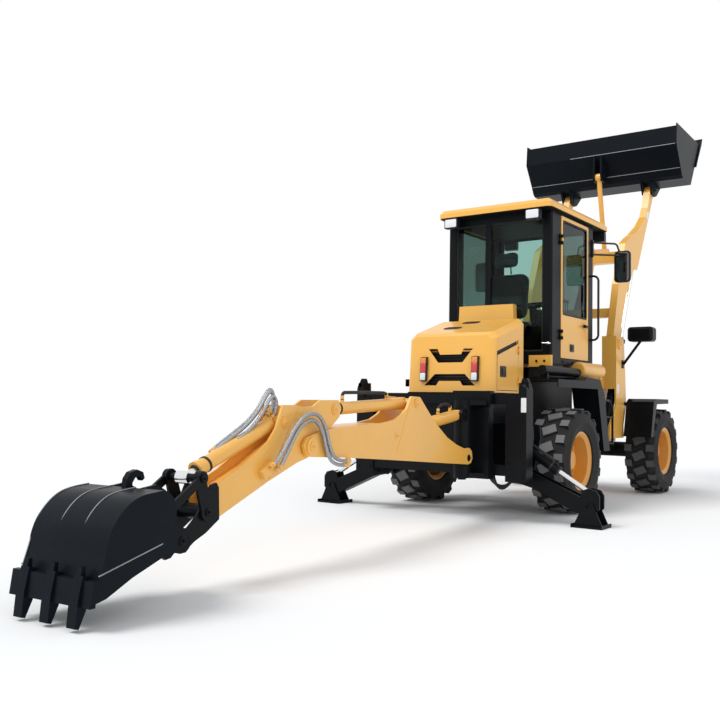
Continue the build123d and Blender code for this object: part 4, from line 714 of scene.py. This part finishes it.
pin_sets = (
    ("boom_pins", "boom", yellow, boom_pins, ((2587, 790, 132, 33), (1120, 1088, 130, 24), (1440, 830, 120, 26))),
    ("post_pins", "swing_post", black, boom_pins, ((110, 602, 120, 28), (110, 990, 70, 22))),
    ("arm_pins", "arm", yellow, boom_pins, ((2268, 1036, 94, 28), (2850, 957, 94, 27))),
    ("nose_pins", "arm", black, boom_pins, ((3600, 455, 120.5, 22), (3800, 318, 120.5, 28))),
    ("rocker_pins", "rocker", black, boom_pins, ((3668, 650, 145, 20),)),
    ("link_pins", "push_link", black, boom_pins, ((3936, 484, 147, 21),)),
    ("tower_pins", "front_frame", yellow, side_pins, ((2075, 1850, 680, 54), (1860, 800, 680, 30))),
    ("lift_arm_pins", "loader_arms", yellow, side_pins, ((2800, 3120, 93, 36), (2280, 2160, 93, 30))),
    ("bucket_pins", "loader_bucket", digging_black, side_pins, ((3540, 4070, 651, 42), (3160, 4260, 62.5, 34))),
)
for name, body, finish, pins_of, rows in pin_sets:
    skinned(name, pins_of(rows), body, finish)
leg_ends = []
for hand in (1, -1):
    for y, z, radius in ((760, 440, 44), (790, 690, 30)):
        leg_ends += pin_end(at(-980, hand * y, z), behind, radius) + pin_end(at(-780, hand * y, z), ahead, radius)
skinned("leg_pins", leg_ends, "machine", black)
print("pin sets", len(pin_sets) + 1)

# %% [markdown]
# ## Weld beads
# Plates are joined by a bead that looks like a row of small overlapping coins. Here a thin tube follows the
# joint, and its radius swells and shrinks along the way as a sine wave of the distance.

# %% Beads
def bead(path, radius=4.0, pitch=9.0, start=(0.0, 0.0, 1.0)):
    """Tube along a path; its radius is radius times (1 + 0.22 times the sine of full turns per pitch)."""
    step = pitch / 3000  # metres: three rings to a ripple
    path = evenly(np.asarray(path, float), step)
    gone = np.arange(len(path)) * step
    swell = radius / 1000 * (1 + 0.22 * np.sin(2 * np.pi * gone * 1000 / pitch))
    swell[[0, -1]] *= 0.4
    return round_rings(path, swell, start, 7)


shell = np.array(((4118, 629.5), (4240, 619), (4325, 596), (4400, 541), (4455, 465), (4491, 352), (4530, 240),
                  (4552, 172)))
shell = shell + (shell - (4200, 330)) * 0.007  # the bead lies on the shell, not in it
shell_line = smooth(np.column_stack((shell, np.zeros(len(shell)))), 3)
upper_line = shell_line[shell_line[:, 1] > 440]
bucket_welds = [bead(on_boom(line + (0, 0, w)), 3.0, 9, leftward)
                for line, w in ((shell_line, 276), (upper_line, 95), (upper_line, -80))]
for hand in (1, -1):
    bucket_welds.append(bead(on_boom(((4532, 258, hand * 280), (4115, 359, hand * 280))), 3.4, 10, leftward))
    bucket_welds.append(bead(on_boom(((4026, 500, hand * 121), (4024, 300, hand * 121))), 4, 10, leftward))
skinned("bucket_welds", bucket_welds, "backhoe_bucket", weld_grey, crease=80)
skinned("loader_bucket_welds", [
    bead(at(((3105, 400, 4560), (3105, -1050, 4560))), 4.5, 11),
    bead(at(((3299, 1062, 4280), (3299, -1062, 4280))), 4, 11),
], "loader_bucket", weld_grey, crease=80)
boom_welds = []
boom_side = 120.5  # outside of the boom's lugs
for hand in (1, -1):
    w = hand * boom_side
    boom_welds += [bead(on_boom(((551, 792, w), (683, 600, w))), 3, 8, leftward),
                   bead(on_boom(((1210, 1128, w), (1440, 700, w))), 2.4, 8, leftward),
                   bead(on_boom(((1700, 925, hand * 98), (2240, 899, hand * 98))), 4, 9, leftward)]
skinned("boom_welds", boom_welds, "boom", yellow, crease=80)
skinned("arm_welds", [bead(on_boom(((2700, 1056, w), (3005, 604, w))), 2.6, 8, leftward) for w in (89, -89)],
        "arm", yellow, crease=80)
print("weld beads", len(bucket_welds) + len(boom_welds) + 4)

# %% [markdown]
# ## Hydraulic hoses
# Oil crosses a hinge in a hose with slack to spare, and reaches the cylinders in hoses and pipes with a woven
# steel or a plain rubber skin. Both ends are screwed to fittings, so a hose is part of the machine and not a
# loose cord. A few points give the route, the corners are cut until it is smooth, and a circle is carried along
# it. The hoses that cross the elbow ride on no body, while their fittings ride on boom and arm; every other one
# rides on one body.

# %% Hose fittings
def fitting(spot, way, bore):
    """Hose end: a hexagon nut, a collar and a crimped ferrule, along the way the hose leaves."""
    nut = turned(spot, way, ((1.25 * bore, 0), (1.25 * bore, 14)), 6)
    crimps = ((0.9, 12), (0.9, 20), (1.12, 21), (1.12, 27), (1.05, 28), (1.12, 33), (1.05, 34), (1.12, 44),
              (0.95, 46))
    ferrule = turned(spot, way, [(share * bore, tall) for share, tall in crimps], 16)
    return [nut, ferrule]


def hose_set(name, body, routes, radius, finish, start=(0.0, 0.0, 1.0), ends_in=yellow):
    """Hoses along smooth routes, and a second piece of fittings at their ends, painted as the plates they join."""
    paths = [evenly(smooth(route), 1.2 * radius / 1000) for route in routes]
    skinned(name, [round_rings(path, radius / 1000, start, 12) for path in paths], body, finish, crease=80)
    ends = []
    for path in paths:
        ends += fitting(path[0], path[2] - path[0], radius) + fitting(path[-1], path[-3] - path[-1], radius)
    skinned(name + "_fittings", ends, body, ends_in)


# %% Elbow hoses
def beside_boom(route, aside):
    """Metres of a route given as rows of (back, up), all of it one distance left of the boom's middle."""
    return on_boom(np.column_stack((route, np.full(len(route), aside))))


outer = ((3078, 686), (3040, 698), (2980, 735), (2890, 838), (2805, 945), (2690, 1010), (2555, 1010), (2466, 915),
         (2425, 800), (2375, 716), (2290, 684), (2160, 678))
inner = ((2996, 655), (2966, 676), (2930, 718), (2850, 822), (2780, 910), (2680, 968), (2580, 968), (2500, 895),
         (2462, 790), (2405, 690), (2300, 652), (2190, 650))
elbow_radius = 13.5
elbow_paths = [evenly(smooth(beside_boom(route, w)), 0.014) for route, w in ((outer, -151.0), (inner, -147.0))]
elbow_hoses = skinned("elbow_hoses", [round_rings(path, elbow_radius / 1000, leftward, 12) for path in elbow_paths],
                      None, steel_braid, crease=80)
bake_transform(elbow_hoses)
arm_ends, boom_ends = [], []
for path in elbow_paths:
    arm_ends += fitting(path[0], path[2] - path[0], elbow_radius)
    boom_ends += fitting(path[-1], path[-3] - path[-1], elbow_radius)
block_way = unit(on_boom(3130, 612, 0) - on_boom(2960, 700, 0))
arm_ends.append(plate_rings(on_boom(3040, 664, -88), np.cross(block_way, -leftward), block_way,
                            62, 150, 42, 8, 0, 0.1))
boom_ends.append(plate_rings(on_boom(2150, 664, -120), top, np.cross(-leftward, top), 66, 44, 18, 6, 0, 0.2))
skinned("elbow_fittings_arm", arm_ends, "arm", yellow)
skinned("elbow_fittings_boom", boom_ends, "boom", yellow)

# %% Bucket cylinder hoses
upper = np.array(((3440, 762), (3380, 800), (3240, 868), (3102, 938), (2985, 1030), (2915, 1128), (2862, 1160),
                  (2826, 1100), (2850, 1030), (2900, 1000)), float)
bucket_routes = [beside_boom(upper + shift, w)
                 for shift, w in (((0, 0), 16.0), ((-34, 16), 46.0), ((10, -30), -14.0))]
hose_set("bucket_cylinder_hoses", "bucket_barrel", bucket_routes, 12.5, steel_braid, leftward)

# %% Arm and boom cylinder hoses
pipe = ((2040, 1092, 0), (2040, 1158, 0), (1980, 1162, 0), (1500, 1168, 0), (1400, 1166, 0), (1392, 1120, 0))
loop = ((500, 1000, 0), (500, 1052, -4), (450, 1080, -8), (360, 1088, -10), (285, 1078, -8), (262, 1044, -4),
        (262, 1026, 0))
hose_set("arm_cylinder_pipe", "arm_barrel", [on_boom(pipe)], 13, rubber, leftward)
hose_set("boom_cylinder_hose", "boom_barrel", [on_boom(loop)], 12, rubber, leftward)

# %% Leg cylinder hoses
for hand, name in both_hands:
    down = unit((0.0, hand * 650.0, -390.0))
    base = at(-880, hand * 790, 690)
    rise = unit(np.cross(down, (hand, 0, 0)))
    rise = rise if rise[2] > 0 else -rise
    routes = [[base + down * a / 1000 + rise * b / 1000 + np.array((c / 1000, 0, 0)) for a, b, c in
               ((360, 40, side), (352, 62, side), (300, 66, side), (180, 62, side * 1.2), (60, 66, side),
                (0, 74, side), (-30, 70, side * 0.6))] for side in (-18, 16)]
    hose_set("leg_hoses_" + name, "leg_barrel_" + name, routes, 9, rubber, (1.0, 0.0, 0.0), black)

# %% Hoses under the frame
hang = [((-1130 + 20 * k, -500 - 30 * k, 560), (-1120, -520 - 30 * k, 470), (-1090, -560 - 20 * k, 360 - 12 * k),
         (-1060, -650, 318 - 14 * k), (-1040, -730, 360), (-1035, -760 - 10 * k, 450)) for k in (0, 1, 2)]
hose_set("frame_hoses", "machine", [at(route) for route in hang], 12, rubber, (1.0, 0.3, 0.0), black)
print("hoses at the elbow", len(elbow_paths), "bucket", len(bucket_routes), "legs", 4, "frame", len(hang))

# %% [markdown]
# ## Cylinder ends
# The rod leaves its barrel through a gland: a screwed ring with a wiper that keeps dirt out, and a strap round
# the barrel's end. Both are small turned parts. The lift and leg cylinders carry the strap alone.

# %% Glands
def gland(base, end, closed, bore, rod, eye, ringed=True):
    """Strap round the barrel's end and, where ringed, a wiper ring at its mouth.

    The mouth lies on the line from pin to pin, at the closed length less 1.25 times the eye's radius.
    """
    way = unit(end - base)
    face = base + way * (closed - 1.25 * eye) / 1000
    ring = turned(face, way, ((rod + 12, -1), (rod + 12, 5), (rod + 8, 9), (rod + 2, 10), (rod + 0.6, 6)), 28)
    strap = turned(face - way * 0.1 * bore / 52, way,
                   ((bore + 0.6, -9), (bore + 4, -8), (bore + 4, 8), (bore + 0.6, 9)), 28)
    return [ring, strap] if ringed else [strap]


lift_glands = [ring for y in (578, -578)
               for ring in gland(at(1860, y, 800), at(2850, y, 2960), 1290, 52, 28, 42, ringed=False)]
gland_sets = [
    ("boom_gland", "boom_barrel", gland(on_boom(110, 990, 0), on_boom(1440, 830, 0), 985, 52, 28, 44)),
    ("arm_gland", "arm_barrel", gland(on_boom(1120, 1088, 0), on_boom(2268, 1036, 0), 1130, 46, 25, 40)),
    ("bucket_gland", "bucket_barrel", gland(on_boom(2850, 957, 0), on_boom(3668, 650, 0), 830, 46, 25, 38)),
    ("tilt_gland", "tilt_barrel", gland(at(2280, 0, 2160), at(2704, 0, 2857), 640, 48, 26, 42)),
    ("lift_glands", "lift_barrels", lift_glands),
]
for hand, name in both_hands:
    foot, tip = at(-880, hand * 790, 690), at(-880, hand * 1440, 300)
    gland_sets.append(("leg_gland_" + name, "leg_barrel_" + name, gland(foot, tip, 450, 42, 22, 34, ringed=False)))
for name, body, glands in gland_sets:
    skinned(name, glands, body, rubber)
print("glands", len(gland_sets))

# %% [markdown]
# ## Levers, studs and bolts
# The driver works the machine with upright levers with round knobs. The steps carry pressed studs for grip, and
# plain bolts hold the cab and the frame's end plate.

# %% Levers
levers = []
for hand in (1, -1):
    for k in range(3):
        foot = at(960 + 70 * k, hand * 405, 2080)
        tip = at(948 + 70 * k, hand * 398, 2290)
        levers += [round_rings(np.linspace(foot, tip, 4), 0.006, (0, 1, 0), 8),
                   turned(tip, tip - foot, ((4, -22), (14, -14), (19, 0), (16, 12), (8, 19), (1, 21)), 14)]
skinned("hand_levers", levers, "machine", trim)
print("levers", len(levers) // 2)

# %% Step studs and bolts
studs = [turned(at(x, hand * y, z), top, ((9, 0), (9, 3), (6, 4)), 8)
         for z, rear in ((972, 1000), (676, 1080))
         for x in np.arange(rear, 1290, 45) for y in np.arange(-860, -660, 50) for hand in (1, -1)]
skinned("step_studs", studs, "machine", black)
bolts = []
for hand in (1, -1):
    for x in (140, 420, 700, 980, 1260):
        bolts += hexagon(at(x, hand * 626, 1562), (0, hand, 0), 11, 10)
    for y in (470, 560):
        bolts += hexagon(at(84, hand * y, 1556), behind, 11, 10)
    for z in (440, 560):
        for y in (775, 915):
            bolts += hexagon(at(-1185, hand * y, z), behind, 13, 11)
skinned("frame_bolts", bolts, "machine", black)
print("studs", len(studs), "bolts", len(bolts) // 2)

# %% [markdown]
# ## Driver's seat
# The seat is foam under black leather: a cushion, a wide back with round shoulders and a head rest. Each starts
# as a slightly small rounded block, is remeshed evenly and blown up a little by the cloth solver, so that its
# faces crown and its edges pull in, as stuffing does. Sewn channels are pressed in afterwards.

# %% Stuffed block
blow_frames = 20
seam_half, seam_deep = 0.009, 0.010  # metres


def stuffed(name, middle, size, lean, power, cap, channels, voxel=0.008):
    """Pad from a superellipsoid: |x|^n + |y|^n + |z|^n = 1 stretched to its size, then swollen by the solver.

    lean tips it backwards, in radians; cap is the furthest a point may move; channels are heights, in shares of
    the half height, where a seam is pressed in.
    """
    rise = np.linspace(-np.pi / 2 + 0.03, np.pi / 2 - 0.03, 26)[:, None]
    turn = np.linspace(0, 2 * np.pi, 48, endpoint=False)[None]
    bend = lambda value: np.sign(value) * np.abs(value) ** power
    block = np.stack((bend(np.cos(rise)) * bend(np.cos(turn)), bend(np.cos(rise)) * bend(np.sin(turn)),
                      bend(np.sin(rise)) * np.ones_like(turn)), -1) * np.array(size) / 2000
    pad = skinned(name, [block], None, leather, crease=180)
    bpy.context.view_layer.objects.active = pad
    pad.data.remesh_voxel_size = voxel
    with bpy.context.temp_override(active_object=pad, object=pad, selected_objects=[pad]):
        bpy.ops.object.voxel_remesh()
    rest = np.zeros(3 * len(pad.data.vertices))
    pad.data.vertices.foreach_get("co", rest)
    cloth = pad.modifiers.new("stuffing", "CLOTH")
    cloth.settings.use_pressure = True
    cloth.settings.uniform_pressure_force = 4.0
    cloth.settings.effector_weights.gravity = 0.0
    cloth.settings.quality = 4
    cloth.point_cache.frame_end = blow_frames
    for step in range(1, blow_frames + 1):
        bpy.context.scene.frame_set(step)
    blown = pad.evaluated_get(bpy.context.evaluated_depsgraph_get())
    moved = np.zeros(len(rest))
    blown.data.vertices.foreach_get("co", moved)
    pad.modifiers.clear()
    bpy.context.scene.frame_set(1)
    shift = (moved - rest).reshape(-1, 3)
    far = np.linalg.norm(shift, axis=1, keepdims=True)
    rest = rest + (shift * np.minimum(1.0, cap / np.maximum(far, 1e-9))).ravel()
    spots = rest.reshape(-1, 3)
    half = np.array(size) / 2000
    for share in channels:
        near = np.exp(-((spots[:, 2] - share * half[2]) / seam_half) ** 2)
        spots[:, 0] -= np.sign(spots[:, 0]) * seam_deep * near * (np.abs(spots[:, 0]) > 0.3 * half[0])
    folds = 0.0022 * np.sin(38 * spots[:, 2] + 24 * spots[:, 1]) * np.sin(61 * spots[:, 1] - 13 * spots[:, 2])
    spots[:, 0] += folds * (np.abs(spots[:, 1]) / half[1]) ** 2
    tip = np.array(((np.cos(lean), 0, np.sin(lean)), (0, 1, 0), (-np.sin(lean), 0, np.cos(lean))))
    spots = spots @ tip + middle
    pad.data.vertices.foreach_set("co", spots.ravel())
    pad.data.update()
    finer = pad.modifiers.new("finer", "SUBSURF")
    finer.levels = finer.render_levels = 1
    pad.data.shade_smooth()
    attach(pad, "machine")
    return pad


# %% The seat's three pads
seat_back = stuffed("seat_back", at(375, 0, 2292), (92, 500, 545), -0.13, 0.34, 0.020, (-0.45, 0.05, 0.5))
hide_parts("seat")
stuffed("seat_cushion", at(600, 0, 1956), (455, 490, 92), 0.0, 0.34, 0.018, ())
stuffed("seat_head_rest", at(315, 0, 2700), (66, 280, 170), -0.08, 0.5, 0.012, (0.0,), 0.007)
back_way = unit((-0.13, 0, 1.0))
rest_bars = [round_rings(evenly(smooth(at(((318, y, 2540), (306, y, 2600), (300, y, 2680)))), 0.01), 0.007, left, 10)
             for y in (-58, 58)]
skinned("seat_frame", [plate_rings(at(326, 0, 2285), right, back_way, 430, 470, 14, 60, 4), *rest_bars,
                       plate_rings(at(600, 0, 1901), ahead, left, 420, 440, 16, 50, 0)],
        "machine", trim)
print("pads", 3)
